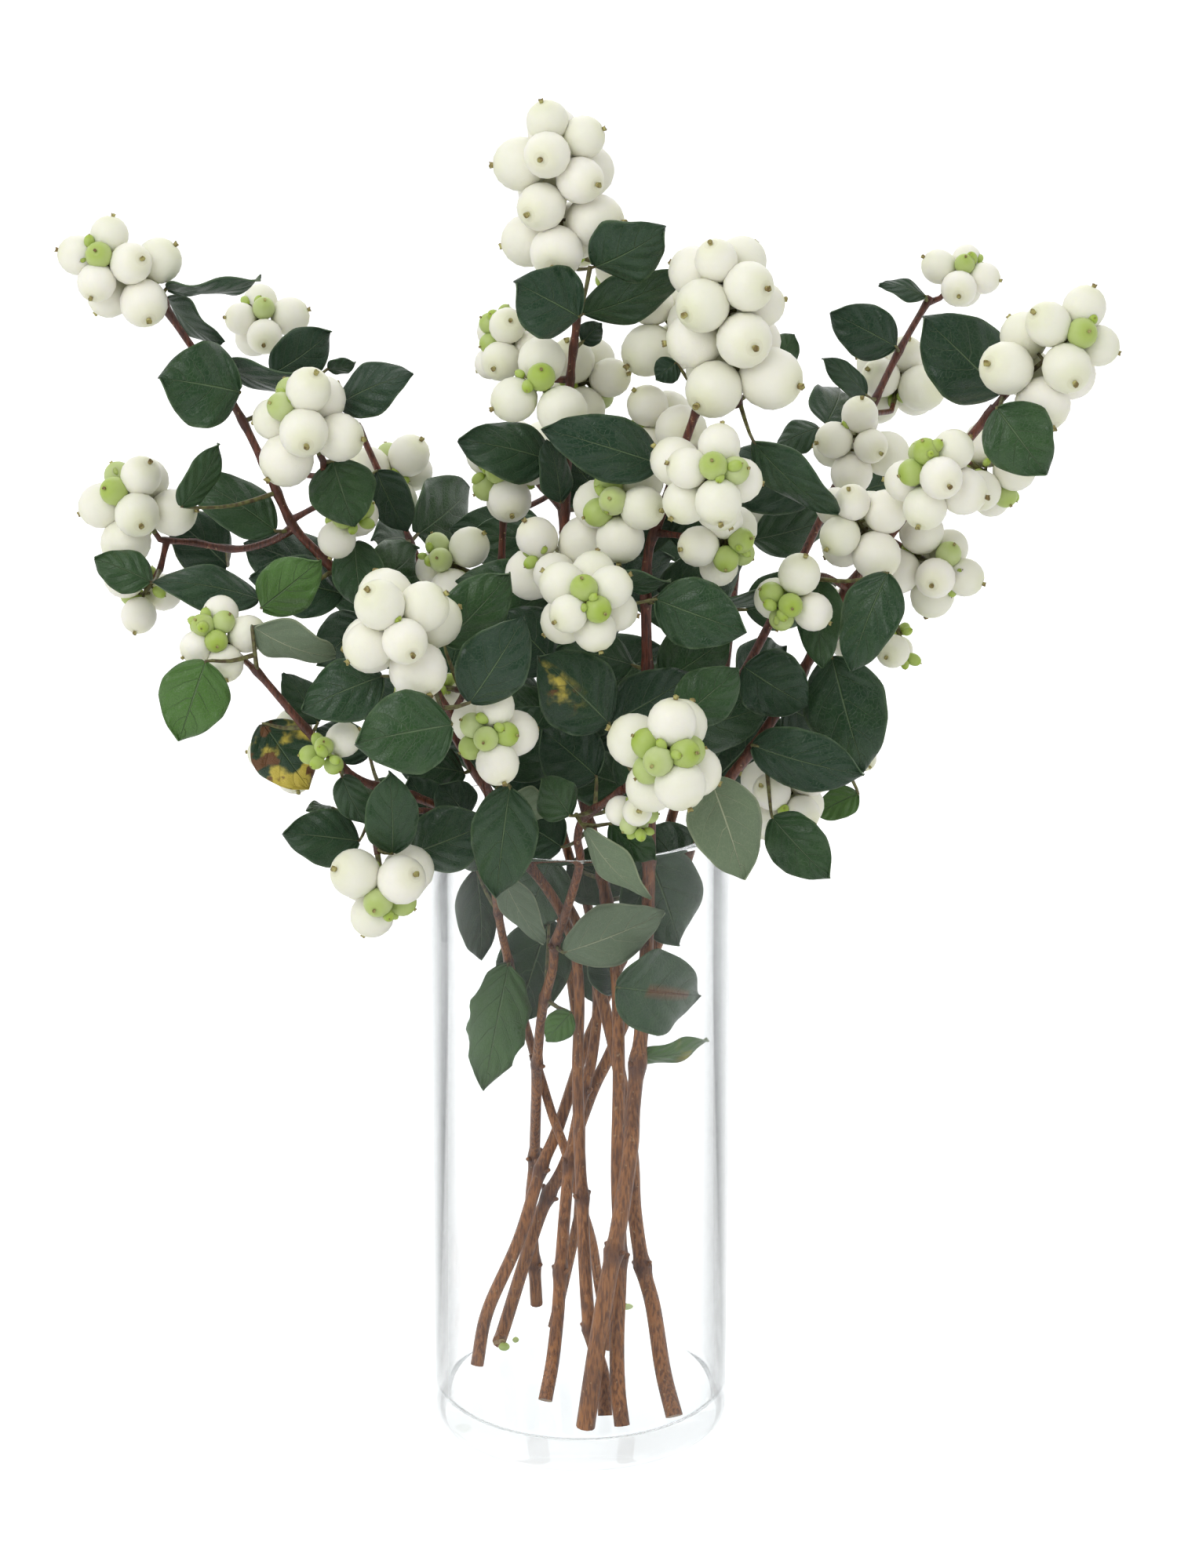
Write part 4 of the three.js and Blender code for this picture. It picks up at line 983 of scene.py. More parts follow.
@dataclass(frozen=True)
class VeinRule:
    """Veins of a leaf, as shares of the side of its map."""

    count: float = 5.5
    slant: float = 0.3
    width: float = 0.035
    rib: tuple = (-0.04, 0.055)
    bend: float = 1.25
    wobble_scale: float = 5.0
    wobble: float = 0.05
    stagger: float = 0.35
    fade_over: tuple = (0.1, 0.95)
    fade: tuple = (-0.55, 0.6)
    net_stretch: tuple = (1.6, 1.0, 1.0)
    net_scale: float = 19.0
    net_width: float = 0.09
    quilt_side: float = 0.35
    rim_from: float = 0.9


VEIN = VeinRule()


def vein_group() -> bpy.types.NodeTree:
    """A leaf's midrib, side veins and fine net, drawn on its own map."""
    inputs = {"Map": None, "Count": VEIN.count, "Slant": VEIN.slant, "Width": VEIN.width}
    group, w, source, sink = group_of("leaf_veins", inputs, ("Veins", "Net", "Quilt", "Rim"))
    parts = w.add("ShaderNodeSeparateXYZ", {0: source.outputs["Map"]}).outputs
    along, side = parts[0], w.calc("ABSOLUTE", w.calc("MULTIPLY_ADD", parts[1], 2.0, -1.0))
    rib_width = w.calc("MULTIPLY_ADD", along, *VEIN.rib)
    rib = w.calc("SUBTRACT", 1.0, w.ease(side, 0.0, rib_width))
    lag = w.calc("MULTIPLY", w.calc("POWER", side, VEIN.bend), source.outputs["Slant"])
    wobble = w.swing(w.noise(source.outputs["Map"], VEIN.wobble_scale), VEIN.wobble)
    lead = w.calc("ADD", w.calc("SUBTRACT", along, lag), wobble)
    half = w.calc("MULTIPLY", w.calc("GREATER_THAN", parts[1], 0.5), VEIN.stagger)
    phase = w.calc("FRACT", w.calc("ADD", w.calc("MULTIPLY", lead, source.outputs["Count"]), half))
    off = w.calc("ABSOLUTE", w.calc("SUBTRACT", phase, 0.5))
    vein = w.calc("SUBTRACT", 1.0, w.ease(off, 0.0, source.outputs["Width"]))
    fading = w.calc("MULTIPLY_ADD", w.ease(side, *VEIN.fade_over), *VEIN.fade)
    veins = w.calc("MAXIMUM", rib, w.calc("MULTIPLY", vein, fading))
    spread = w.stretched(source.outputs["Map"], VEIN.net_stretch)
    cells = w.add("ShaderNodeTexVoronoi", {"Vector": spread, "Scale": VEIN.net_scale},
                  feature="DISTANCE_TO_EDGE")
    net = w.calc("SUBTRACT", 1.0, w.ease(cells.outputs["Distance"], 0.0, VEIN.net_width))
    quilt = w.calc("MULTIPLY", w.ease(off, 0.0, 0.5), w.ease(side, 0.0, VEIN.quilt_side))
    rim = w.ease(side, VEIN.rim_from, 1.0)
    for key, socket in (("Veins", veins), ("Net", net), ("Quilt", quilt), ("Rim", rim)):
        group.links.new(socket, sink.inputs[key])
    return group


@dataclass(frozen=True)
class LeafFinish:
    """One face of a leaf blade: colours from dark to light, veins and gloss."""

    name: str
    dark: tuple
    fresh: tuple
    vein: tuple
    vein_share: float
    relief: float
    roughness: float
    spot: tuple = (0.62, 0.5, 0.08, 1)
    dead: tuple = (0.16, 0.07, 0.025, 1)
    clouds: tuple = (130.0, 3)
    cloud_tone: float = 0.3
    cloud_gloss: float = 0.16
    rim_share: float = 0.35
    net_share: float = 0.12
    yellow: Cloud = Cloud(scale=90.0, detail=4, start=0.47, end=0.56)
    brown: Cloud = Cloud(scale=150.0, detail=4, start=0.55, end=0.62)
    net_rise: float = -0.12
    quilt_rise: float = 0.7
    grain: tuple = (900.0, 2)
    grain_rise: float = 0.12

    def material(self, veins: bpy.types.NodeTree) -> bpy.types.Material:
        """The material, with the shared vein group placed in it."""

        def varying(w: Wiring) -> dict:
            where = w.place()
            leaf_map = w.add("ShaderNodeUVMap").outputs[0]
            group = w.add("ShaderNodeGroup", node_tree=veins)
            w.tree.links.new(leaf_map, group.inputs["Map"])
            clouds = w.noise(where, *self.clouds)
            tone = w.calc("ADD", w.mark("tone"), w.swing(clouds, self.cloud_tone))
            ground = w.mix(w.ease(tone, 0.0, 1.0), self.dark, self.fresh)
            ground = w.mix(w.calc("MULTIPLY", group.outputs["Rim"], self.rim_share), ground, self.vein)
            lined = w.calc("MULTIPLY", group.outputs["Veins"], self.vein_share)
            netted = w.calc("MULTIPLY", group.outputs["Net"], self.vein_share * self.net_share)
            ground = w.mix(w.calc("MAXIMUM", lined, netted), ground, self.vein)
            yellow = w.calc("MULTIPLY", w.patches(where, self.yellow), w.mark("spots"))
            ground = w.mix(yellow, ground, self.spot)
            brown = w.calc("MULTIPLY", w.patches(where, self.brown), w.mark("spots"))
            ground = w.mix(w.calc("MAXIMUM", brown, w.mark("scar")), ground, self.dead)
            sunk = w.calc("MULTIPLY", group.outputs["Veins"], -1.0)
            height = w.calc("ADD", w.calc("MULTIPLY_ADD", group.outputs["Net"], self.net_rise, sunk),
                            w.calc("MULTIPLY", group.outputs["Quilt"], self.quilt_rise))
            grain = w.calc("MULTIPLY", w.noise(where, *self.grain), self.grain_rise)
            height = w.calc("ADD", height, grain)
            rough = w.swing(clouds, self.cloud_gloss, self.roughness)
            return {"Base Color": ground, "Roughness": rough, "Normal": w.relief(height, self.relief)}

        return new_finish(self.name, {"Specular IOR Level": 0.42}, varying)


@dataclass(frozen=True)
class BarkFinish:
    """Bark of stems and twigs: tan and ridged low down, red-brown and smoother higher up."""

    name: str = "bark"
    low: tuple = (0.34, 0.135, 0.04, 1)
    low_dark: tuple = (0.12, 0.042, 0.014, 1)
    high: tuple = (0.16, 0.046, 0.026, 1)
    high_dark: tuple = (0.055, 0.017, 0.011, 1)
    pale: tuple = (0.42, 0.27, 0.14, 1)
    change: tuple = (0.13, 0.23)
    ridge_stretch: tuple = (1.0, 1.0, 0.14)
    ridges: tuple = (1500.0, 4)
    ridge_range: tuple = (0.34, 0.62)
    blotches: Cloud = Cloud(scale=60.0, detail=3, start=0.45, end=0.68)
    blotch_share: float = 0.4
    dots: Cloud = Cloud(scale=900.0, detail=1, start=0.68, end=0.75)
    dot_share: float = 0.6
    ring_share: float = 0.9
    gloss: tuple = (0.25, 0.22)
    relief: float = 0.0004

    def material(self) -> bpy.types.Material:
        """The bark's material."""

        def varying(w: Wiring) -> dict:
            where = w.place()
            ridges = w.noise(w.stretched(where, self.ridge_stretch), *self.ridges)
            height = w.add("ShaderNodeSeparateXYZ", {0: where}).outputs[2]
            up = w.ease(height, *self.change)
            light = w.mix(up, self.low, self.high)
            dark = w.mix(up, self.low_dark, self.high_dark)
            ground = w.mix(w.ease(ridges, *self.ridge_range), dark, light)
            marks = (
                (w.patches(where, self.blotches), self.blotch_share, self.high_dark),
                (w.patches(where, self.dots), self.dot_share, self.pale),
                (w.mark("ring"), self.ring_share, self.high_dark),
            )
            for mark, share, colour in marks:
                ground = w.mix(w.calc("MULTIPLY", mark, share), ground, colour)
            rough = w.calc("MULTIPLY_ADD", ridges, *self.gloss)
            return {"Base Color": ground, "Roughness": rough, "Normal": w.relief(ridges, self.relief)}

        return new_finish(self.name, {}, varying)


@dataclass(frozen=True)
class BerryFinish:
    """Waxy skin of a berry: white when ripe, yellow-green before, creamier towards both ends, where unripe
    ones are a little greener. At the stalk end, which faces into the bunch, this is painted shade; by the
    dry tip it is the berry's own tint.
    """

    name: str = "berry_skin"
    white: tuple = (0.89, 0.87, 0.79, 1)
    cream: tuple = (0.78, 0.78, 0.55, 1)
    green: tuple = (0.34, 0.47, 0.05, 1)
    brown: tuple = (0.5, 0.42, 0.2, 1)
    clouds: tuple = (160.0, 3)
    # Cream towards both ends: painted shade at the stalk end, which faces into the bunch, and the berry's
    # own tint by the dry tip
    ends_from: tuple = (0.45, 1.1)
    ends_shade_and_tint: float = 0.75
    clouds_cream: tuple = (0.5, -0.17)
    shade_and_tint_share: float = 0.8
    green_share: tuple = (0.1, 0.9)
    tip_from: tuple = (0.93, 1.0)
    tip_share: float = 0.55
    specks: Cloud = Cloud(scale=2600.0, detail=1, start=0.6, end=0.72)
    speck_rise: float = 0.12
    cloud_rise: float = 0.8
    gloss: tuple = (0.15, 0.33)
    relief: float = 0.0004
    relief_share: float = 0.5

    def material(self) -> bpy.types.Material:
        """The skin's material."""

        def varying(w: Wiring) -> dict:
            where = w.place()
            pole = w.mark("pole")
            clouds = w.noise(where, *self.clouds)
            # Creamier towards both ends: painted shade at the stalk end, which faces into the bunch, and the
            # berry's own tint by the dry tip
            ends = w.ease(w.calc("ABSOLUTE", pole), *self.ends_from)
            mottled = w.calc("MULTIPLY_ADD", clouds, *self.clouds_cream)
            cream = w.calc("MULTIPLY_ADD", ends, self.ends_shade_and_tint, mottled)
            skin = w.mix(w.calc("MULTIPLY", cream, self.shade_and_tint_share), self.white, self.cream)
            greener = w.calc("MULTIPLY_ADD", ends, *self.green_share)
            skin = w.mix(w.calc("MULTIPLY", w.mark("unripe"), greener), skin, self.green)
            tip = w.calc("MULTIPLY", w.ease(pole, *self.tip_from), self.tip_share)
            skin = w.mix(tip, skin, self.brown)
            rough = w.calc("MULTIPLY_ADD", clouds, *self.gloss)
            rise = w.calc("MULTIPLY", clouds, self.cloud_rise)
            height = w.calc("MULTIPLY_ADD", w.patches(where, self.specks), self.speck_rise, rise)
            relief = w.relief(height, self.relief, self.relief_share)
            return {"Base Color": skin, "Roughness": rough, "Normal": relief}

        fixed = {
            "Subsurface Weight": 0.35, "Subsurface Radius": (0.9, 1.0, 0.6), "Subsurface Scale": 0.0025,
            "Specular IOR Level": 0.4,
        }
        return new_finish(self.name, fixed, varying)


@dataclass(frozen=True)
class DryFinish:
    """Small dry or woody parts in one colour range, with fine grain."""

    name: str
    dark: tuple
    light: tuple
    grain: float = 1200.0
    roughness: float = 0.7
    relief: float = 0.0003
    detail: float = 3
    light_from: tuple = (0.3, 0.7)
    gloss: float = 0.2

    def material(self) -> bpy.types.Material:
        """The material, mottled from dark to light."""

        def varying(w: Wiring) -> dict:
            grain = w.noise(w.place(), self.grain, self.detail)
            ground = w.mix(w.ease(grain, *self.light_from), self.dark, self.light)
            rough = w.swing(grain, self.gloss, self.roughness)
            return {"Base Color": ground, "Roughness": rough, "Normal": w.relief(grain, self.relief)}

        return new_finish(self.name, {}, varying)


@dataclass(frozen=True)
class GlassFinish:
    """Clear glass with faint smudges, partly clear where it is seen on edge and where it rests."""

    name: str = "clear_glass"
    tint: tuple = (0.985, 0.995, 1.0, 1)
    refraction: float = 1.25
    smudge: float = 0.03
    smear_stretch: tuple = (1.0, 1.0, 0.4)
    smears: Cloud = Cloud(scale=70.0, detail=3, start=0.5, end=0.75)
    clear: tuple = (0.96, 0.975, 0.98, 1)
    edge_from: tuple = (0.45, 0.9)
    edge_clear: float = 0.72
    resting: float = 0.0003
    rest_clear: float = 0.7

    def material(self) -> bpy.types.Material:
        """The glass, which lets the light of the lamps through."""

        def varying(w: Wiring) -> dict:
            smears = w.patches(w.stretched(w.place(), self.smear_stretch), self.smears)
            return {"Roughness": w.calc("MULTIPLY", smears, self.smudge)}

        fixed = {"Base Color": self.tint, "IOR": self.refraction, "Transmission Weight": 1.0}
        material = new_finish(self.name, fixed, varying)
        nodes = material.node_tree.nodes
        w = Wiring(material.node_tree)
        facing = w.add("ShaderNodeLayerWeight", {"Blend": 0.5}).outputs["Facing"]
        edge = w.calc("MULTIPLY", w.ease(facing, *self.edge_from), self.edge_clear)
        up = w.add("ShaderNodeSeparateXYZ", {0: w.place()}).outputs[2]
        under = w.calc("MULTIPLY", w.calc("LESS_THAN", up, self.resting), self.rest_clear)
        edge = w.calc("MAXIMUM", edge, under)
        shadow = w.calc("MAXIMUM", w.add("ShaderNodeLightPath").outputs["Is Shadow Ray"], edge)
        through = w.add("ShaderNodeBsdfTransparent", {"Color": self.clear}).outputs[0]
        both = w.add("ShaderNodeMixShader", {0: shadow, 1: nodes["Principled BSDF"].outputs[0], 2: through})
        material.node_tree.links.new(both.outputs[0], nodes["Material Output"].inputs["Surface"])
        return material


@dataclass
class Palette:
    """Every material of the arrangement, made once."""

    glass: bpy.types.Material
    bark: bpy.types.Material
    cut: bpy.types.Material
    stalk: bpy.types.Material
    leaf_top: bpy.types.Material
    leaf_under: bpy.types.Material
    berry: bpy.types.Material
    calyx: bpy.types.Material

    @classmethod
    def made(cls) -> "Palette":
        """Make the materials."""
        veins = vein_group()
        top = LeafFinish(
            name="leaf_top", dark=(0.015, 0.044, 0.021, 1), fresh=(0.075, 0.17, 0.035, 1),
            vein=(0.15, 0.23, 0.11, 1), vein_share=0.75, relief=0.0005, roughness=0.31)
        under = LeafFinish(
            name="leaf_under", dark=(0.13, 0.18, 0.11, 1), fresh=(0.18, 0.26, 0.1, 1),
            vein=(0.48, 0.52, 0.34, 1), vein_share=0.85, relief=0.0003, roughness=0.55)
        cut = DryFinish(name="cut_wood", dark=(0.28, 0.17, 0.08, 1), light=(0.5, 0.36, 0.2, 1))
        stalk = DryFinish(
            name="green_stalk", dark=(0.07, 0.05, 0.02, 1), light=(0.16, 0.16, 0.05, 1),
            grain=700.0, roughness=0.5)
        calyx = DryFinish(
            name="dry_calyx", dark=(0.2, 0.13, 0.045, 1), light=(0.5, 0.47, 0.17, 1), grain=700.0)
        return cls(
            glass=GlassFinish().material(), bark=BarkFinish().material(), cut=cut.material(),
            stalk=stalk.material(), leaf_top=top.material(veins), leaf_under=under.material(veins),
            berry=BerryFinish().material(), calyx=calyx.material())


class Leaf:
    """A leaf: its frame in space, its stalk and its blade."""

    def __init__(self, room: Arrangement, owner: str, base: np.ndarray, tip: np.ndarray,
                 width: float, roll: float, seed: int, rows: Sequence[float], look: LeafLook) -> None:
        """Lay out the leaf.

        Args:
            room: What is placed so far.
            owner: The stem it grows on.
            base: Where the blade begins, in mm.
            tip: Where the blade ends, in mm.
            width: Greatest width in mm.
            roll: Turn about the midrib in degrees, from facing the eye.
            seed: Seed of its own stream.
            rows: Where along the blade its margin draws in a little.
            look: How it differs from a plain leaf.
        """
        draw = Stream(seed)
        span = tip - base
        self.length = float(np.linalg.norm(span))
        self.along = span / self.length
        eye = unit(np.array([EYE.x, EYE.y, EYE.z]) - base)
        face = unit(eye - self.along * (eye @ self.along))
        self.face = turned(face, self.along, math.radians(roll))
        self.side = np.cross(self.along, self.face)
        self.base, self.width, self.look, self.seed = base, width, look, seed
        self.phase = draw() * 2 * math.pi
        self.notches = [[1 - BLADE.notch * draw(), 1 - BLADE.notch * draw()] for _ in rows]
        self.rows = rows
        self.root = room.nearest_wood(owner, base)
        self.balls = Balls()
        half_stalk = ROD.stalk_width / 2
        self.balls.add_rod([self.root, base], [half_stalk, half_stalk], owner)
        for share in BLADE.ball_rows:
            for across in BLADE.ball_columns:
                at = self.sheet(np.array([share]), np.array([across]), np.array([1.0]))[0]
                self.balls.add(at, ROOM.blade, owner, Kind.BLADE)

    def sheet(self, share: np.ndarray, across: np.ndarray, inset: np.ndarray) -> np.ndarray:
        """Points of the blade's middle sheet.

        Args:
            share: Shares of the length.
            across: Shares of the half width, from -1 to 1.
            inset: How far the margin draws in there, 1 for not at all.

        Returns:
            The points in mm.
        """
        full = np.maximum(np.sin(math.pi * share ** BLADE.skew), 0) ** BLADE.fullness
        half = 0.5 * self.width * full
        wave = BLADE.wave * self.width * np.sin(BLADE.waves * math.pi * share + self.phase) * across ** 2
        rise = BLADE.arch * self.length * 4 * share * (1 - share) - BLADE.fold * half * np.abs(across)
        lift = rise + wave * np.sign(across)
        points = self.base + np.outer(share * self.length, self.along)
        return points + np.outer(half * across * inset, self.side) + np.outer(lift, self.face)

    def inset(self, share: np.ndarray, across: np.ndarray) -> np.ndarray:
        """How far the margin draws in: gently at the rows, and in lobes or fine waves."""
        marks = [0, *self.rows, 1]
        left = np.interp(share, marks, [1, *(pair[0] for pair in self.notches), 1])
        right = np.interp(share, marks, [1, *(pair[1] for pair in self.notches), 1])
        depth = MARK.lobe_depth if self.look is LeafLook.LOBED else MARK.ripple_depth
        ripple = np.abs(np.sin(math.pi * MARK.lobes * share + self.phase))
        lobes = depth * ripple * np.abs(across) ** MARK.lobe_edge
        pointed = np.clip((1 - share) / MARK.point, 0, 1) ** MARK.point_power
        return np.where(across < 0, left, right) * (1 - lobes) * pointed

    def build(self, model: bpy.types.Object) -> bpy.types.Object:
        """Bend a copy of the flat model into this leaf.

        Args:
            model: The flat blade, one by one, with its map.

        Returns:
            The blade as a single sheet.
        """
        obj = copy_of(model, "blade")
        mesh = obj.data
        flat = np.empty(3 * len(mesh.vertices))
        mesh.vertices.foreach_get("co", flat)
        flat = flat.reshape(-1, 3)
        even = flat[:, 0] + 0.5
        share = BLADE.even * even + (1 - BLADE.even) / 2 * (1 - np.cos(math.pi * even))
        across = -2 * flat[:, 1]
        inset = self.inset(share, across)
        points = self.sheet(np.clip(share, BLADE.end_gap, 1 - BLADE.end_gap), across, inset)
        mesh.vertices.foreach_set("co", (points * MM).ravel())
        draw = Stream(self.seed + MARK.seed)
        tag(mesh, "tone", TONES.get(self.look, draw.between(*MARK.plain_tones)))
        spots = np.zeros(len(share))
        if self.look is LeafLook.SPOTTED:
            spots += 1
        elif self.look is LeafLook.BROWNED:
            away = np.hypot(share - MARK.brown_at[0], across - MARK.brown_at[1])
            spots += np.clip(MARK.brown_most - MARK.brown_fall * away, 0, 1)
        elif self.look is LeafLook.YELLOWING:
            spots += np.clip(MARK.yellow_rise * share - MARK.yellow_less, 0, MARK.yellow_most)
        tag(mesh, "spots", spots)
        slit = np.clip(MARK.slit_depth * np.exp(-(across / MARK.slit_width) ** 2), 0, 1)
        slit = slit * ((share > MARK.slit_from) & (share < MARK.slit_to))
        tag(mesh, "scar", slit if self.look is LeafLook.SLIT else 0)
        if self.look is LeafLook.UNDERSIDE:
            mesh.polygons.foreach_set("material_index", [1] * len(mesh.polygons))
        return obj


@dataclass
class LeafModel:
    """The flat blade that every leaf is bent from, one by one, with its map."""

    along: int = 26
    across: int = 10

    def build(self, palette: Palette) -> bpy.types.Object:
        """Add the flat blade."""
        deselect()
        bpy.ops.mesh.primitive_grid_add(
            x_subdivisions=self.along, y_subdivisions=self.across, size=1, calc_uvs=True)
        model = bpy.context.object
        for material in (palette.leaf_top, palette.leaf_under, palette.leaf_top):
            model.data.materials.append(material)
        return model


@dataclass
class BerryModel:
    """The berry that every berry is copied from: radius one, its dry tip pointing up."""

    segments: int = 16
    rings: int = 10
    dimple: float = 0.045
    calyx_radius: float = 0.1
    calyx_height: float = 0.14
    calyx_sides: int = 10
    flare: float = 1.25
    cap_from: float = 0.93
    cap_inset: float = 0.14
    rim_slack: float = 0.01
    rim_inset: float = 0.035
    rim_drop: float = 0.05
    teeth: int = 5
    tooth: float = 0.04

    def build(self, palette: Palette) -> bpy.types.Object:
        """Model the berry and its dry tip, and join them."""
        deselect()
        bpy.ops.mesh.primitive_uv_sphere_add(segments=self.segments, ring_count=self.rings, radius=1)
        skin = bpy.context.object
        bpy.ops.object.mode_set(mode="EDIT")
        for end in (1, -1):
            pick("FACE", lambda face: face.calc_center_median().z * end > self.cap_from)
            bpy.ops.mesh.inset(thickness=self.cap_inset)
            bpy.ops.transform.translate(value=(0, 0, -end * self.dimple))
        bpy.ops.object.mode_set(mode="OBJECT")
        skin.data.materials.append(palette.berry)
        deselect()
        top = 1 - self.dimple + self.calyx_height / 2
        bpy.ops.mesh.primitive_cylinder_add(
            vertices=self.calyx_sides, radius=self.calyx_radius, depth=self.calyx_height,
            location=(0, 0, top))
        bpy.ops.object.transform_apply(location=True, rotation=True, scale=True)
        calyx = bpy.context.object
        bpy.ops.object.mode_set(mode="EDIT")
        rim = top + self.calyx_height / 2
        pick("FACE", lambda face: face.calc_center_median().z > rim - self.rim_slack)
        bpy.ops.transform.resize(value=(self.flare, self.flare, 1))
        bpy.ops.mesh.inset(thickness=self.rim_inset)
        bpy.ops.transform.translate(value=(0, 0, -self.rim_drop))
        bpy.ops.object.mode_set(mode="OBJECT")
        for vertex in calyx.data.vertices:
            tooth = round(math.atan2(vertex.co.y, vertex.co.x) / (math.pi / self.teeth)) % 2
            if vertex.co.z > rim - self.rim_slack and tooth:
                vertex.co.z += self.tooth
        calyx.data.materials.append(palette.calyx)
        model = joined([skin, calyx], "berry_model")
        tag(model.data, "pole", np.array([vertex.co.z for vertex in model.data.vertices]))
        return model


class Bunch:
    """A bunch of berries pressed round a short stalk, and the twig that carries it."""

    def __init__(self, room: Arrangement, row: Sequence, index: int, shift: float) -> None:
        """Lay out the bunch.

        Args:
            room: What is placed so far.
            row: Name, stem, middle, direction, berries, width of a ripe one in mm, unripe ones.
            index: Its number in the table, which seeds its berries.
            shift: Shift in depth in mm.
        """
        name, self.stem, middle, toward, self.count, width, self.green = row
        self.name = "bunch_" + name
        self.index = index
        self.radius = radius = width / 2
        heart = EYE.place(shifted(middle, shift))
        ahead = EYE.place([a + b for a, b in zip(shifted(middle, shift), toward)])
        self.axis = axis = unit(ahead - heart)
        filled = self.count - self.green + self.green * BUNCH.green_share ** 2
        stalk = (BUNCH.seat_area * filled - BUNCH.end_area) / BUNCH.side_area
        self.length = radius * max(BUNCH.least_stalk, stalk)
        self.foot = heart - axis * (0.5 * self.length + BUNCH.setback * radius)
        self.berries, self.radii = self.packed(Stream(index + 1))
        self.end = self.foot - axis * radius
        tip = self.end - axis * ROD.seat_gap
        self.root = room.nearest_wood(self.stem, tip)
        reach = float(np.linalg.norm(self.root - tip))
        steps = 2 if reach > ROD.long_twig else 1
        knee = tip - axis * ROD.knee * reach
        straight = tip - axis * ROD.twig_end
        path = []
        for i in range(steps + 1):
            t = i / steps
            path.append(self.root * (1 - t) ** 2 + knee * 2 * t * (1 - t) + straight * t ** 2)
        self.path = [*path, tip]
        narrowing = ROD.twig_tip - ROD.twig_foot
        thick = [ROD.twig_foot + narrowing * min(1, i / steps) for i in range(steps + 2)]
        self.balls = Balls()
        for at, own in zip(self.berries, self.radii):
            self.balls.add(at, own * BUNCH.swell + ROOM.berry, self.name, Kind.BERRY)
        self.balls.add_rod(self.path, thick, self.stem)

    def packed(self, draw: Stream) -> tuple:
        """Push the berries apart and against their stalk.

        Args:
            draw: The bunch's own stream.

        Returns:
            Places and radii of the berries in mm.
        """
        axis, radius, foot, length, count = self.axis, self.radius, self.foot, self.length, self.count
        side = beside(axis)
        other = np.cross(axis, side)
        turn = draw() * 2 * math.pi
        at, radii = [], []
        for i in range(count):
            ripe = i < count - self.green
            graded = BUNCH.base_share + (BUNCH.tip_share - BUNCH.base_share) * (i / count)
            share = graded + BUNCH.spread * (2 * draw() - 1) if ripe else BUNCH.green_share
            angle = turn + i * GOLDEN_ANGLE
            place = foot + axis * ((i + 0.5) / count) * (length + radius)
            at.append(place + side * radius * math.cos(angle) + other * radius * math.sin(angle))
            radii.append(share * radius)
        for _ in range(BUNCH.rounds):
            for i in range(count):
                for j in range(i + 1, count):
                    apart = at[j] - at[i]
                    gap = math.sqrt(apart @ apart)
                    want = radii[i] + radii[j]
                    if gap < want:
                        apart *= (want - gap) / (2 * gap)
                        at[i] = at[i] - apart
                        at[j] = at[j] + apart
            for i in range(count):
                along = (at[i] - foot) @ axis
                kept = max(along, -BUNCH.perch * radius)
                place = at[i] + axis * (kept - along)
                seat = foot + axis * min(max(kept, 0), length)
                out = place - seat
                far = BUNCH.perch * radius + radii[i]
                gap = math.sqrt(out @ out)
                place = seat + out / gap * min(max(gap, BUNCH.least_perch * far), far)
                clear = radii[i] + BUNCH.twig_room_mm
                low = place - foot
                height = low @ axis
                around = low - axis * height
                gap = math.sqrt(around @ around)
                if height < BUNCH.low * radii[i] and gap < clear:
                    place = foot + axis * height + around / gap * clear
                at[i] = place
        return at, radii

    @staticmethod
    def berry(model: bpy.types.Object, at: np.ndarray, out: np.ndarray, size: Sequence[float],
              draw: Stream) -> bpy.types.Object:
        """A copy of the berry, set in its place.

        Args:
            model: The berry that is copied.
            at: Its middle in mm.
            out: The way its dry tip points.
            size: Its three radii in mm.
            draw: The stream that turns it about its own axis.

        Returns:
            The berry.
        """
        tilt = Vector((0, 0, 1)).rotation_difference(Vector(out)).to_matrix().to_4x4()
        spin = Matrix.Rotation(draw() * 2 * math.pi, 4, "Z")
        scale = Matrix.Diagonal((*(radius * MM for radius in size), 1))
        berry = copy_of(model, "berry")
        berry.data.transform(Matrix.Translation(Vector(at * MM)) @ tilt @ spin @ scale)
        return berry

    def bud_spots(self, draw: Stream) -> list:
        """Places and ways of the tiny buds at the foot and the tip of the bunch."""
        side = beside(self.axis)
        spots = []
        ends = ((-1, -self.radius * BUNCH.bud_below), (1, self.length + self.radius * BUNCH.bud_above))
        for end, along in ends:
            middle = self.foot + self.axis * along
            turn = draw() * 2 * math.pi
            for k in range(BUNCH.buds):
                around = turned(side, self.axis, turn + k * GOLDEN_ANGLE)
                way = unit(around + self.axis * end * draw.between(*BUNCH.bud_lean))
                spots.append((middle + way * draw.between(*BUNCH.bud_reach_mm), way))
        return spots

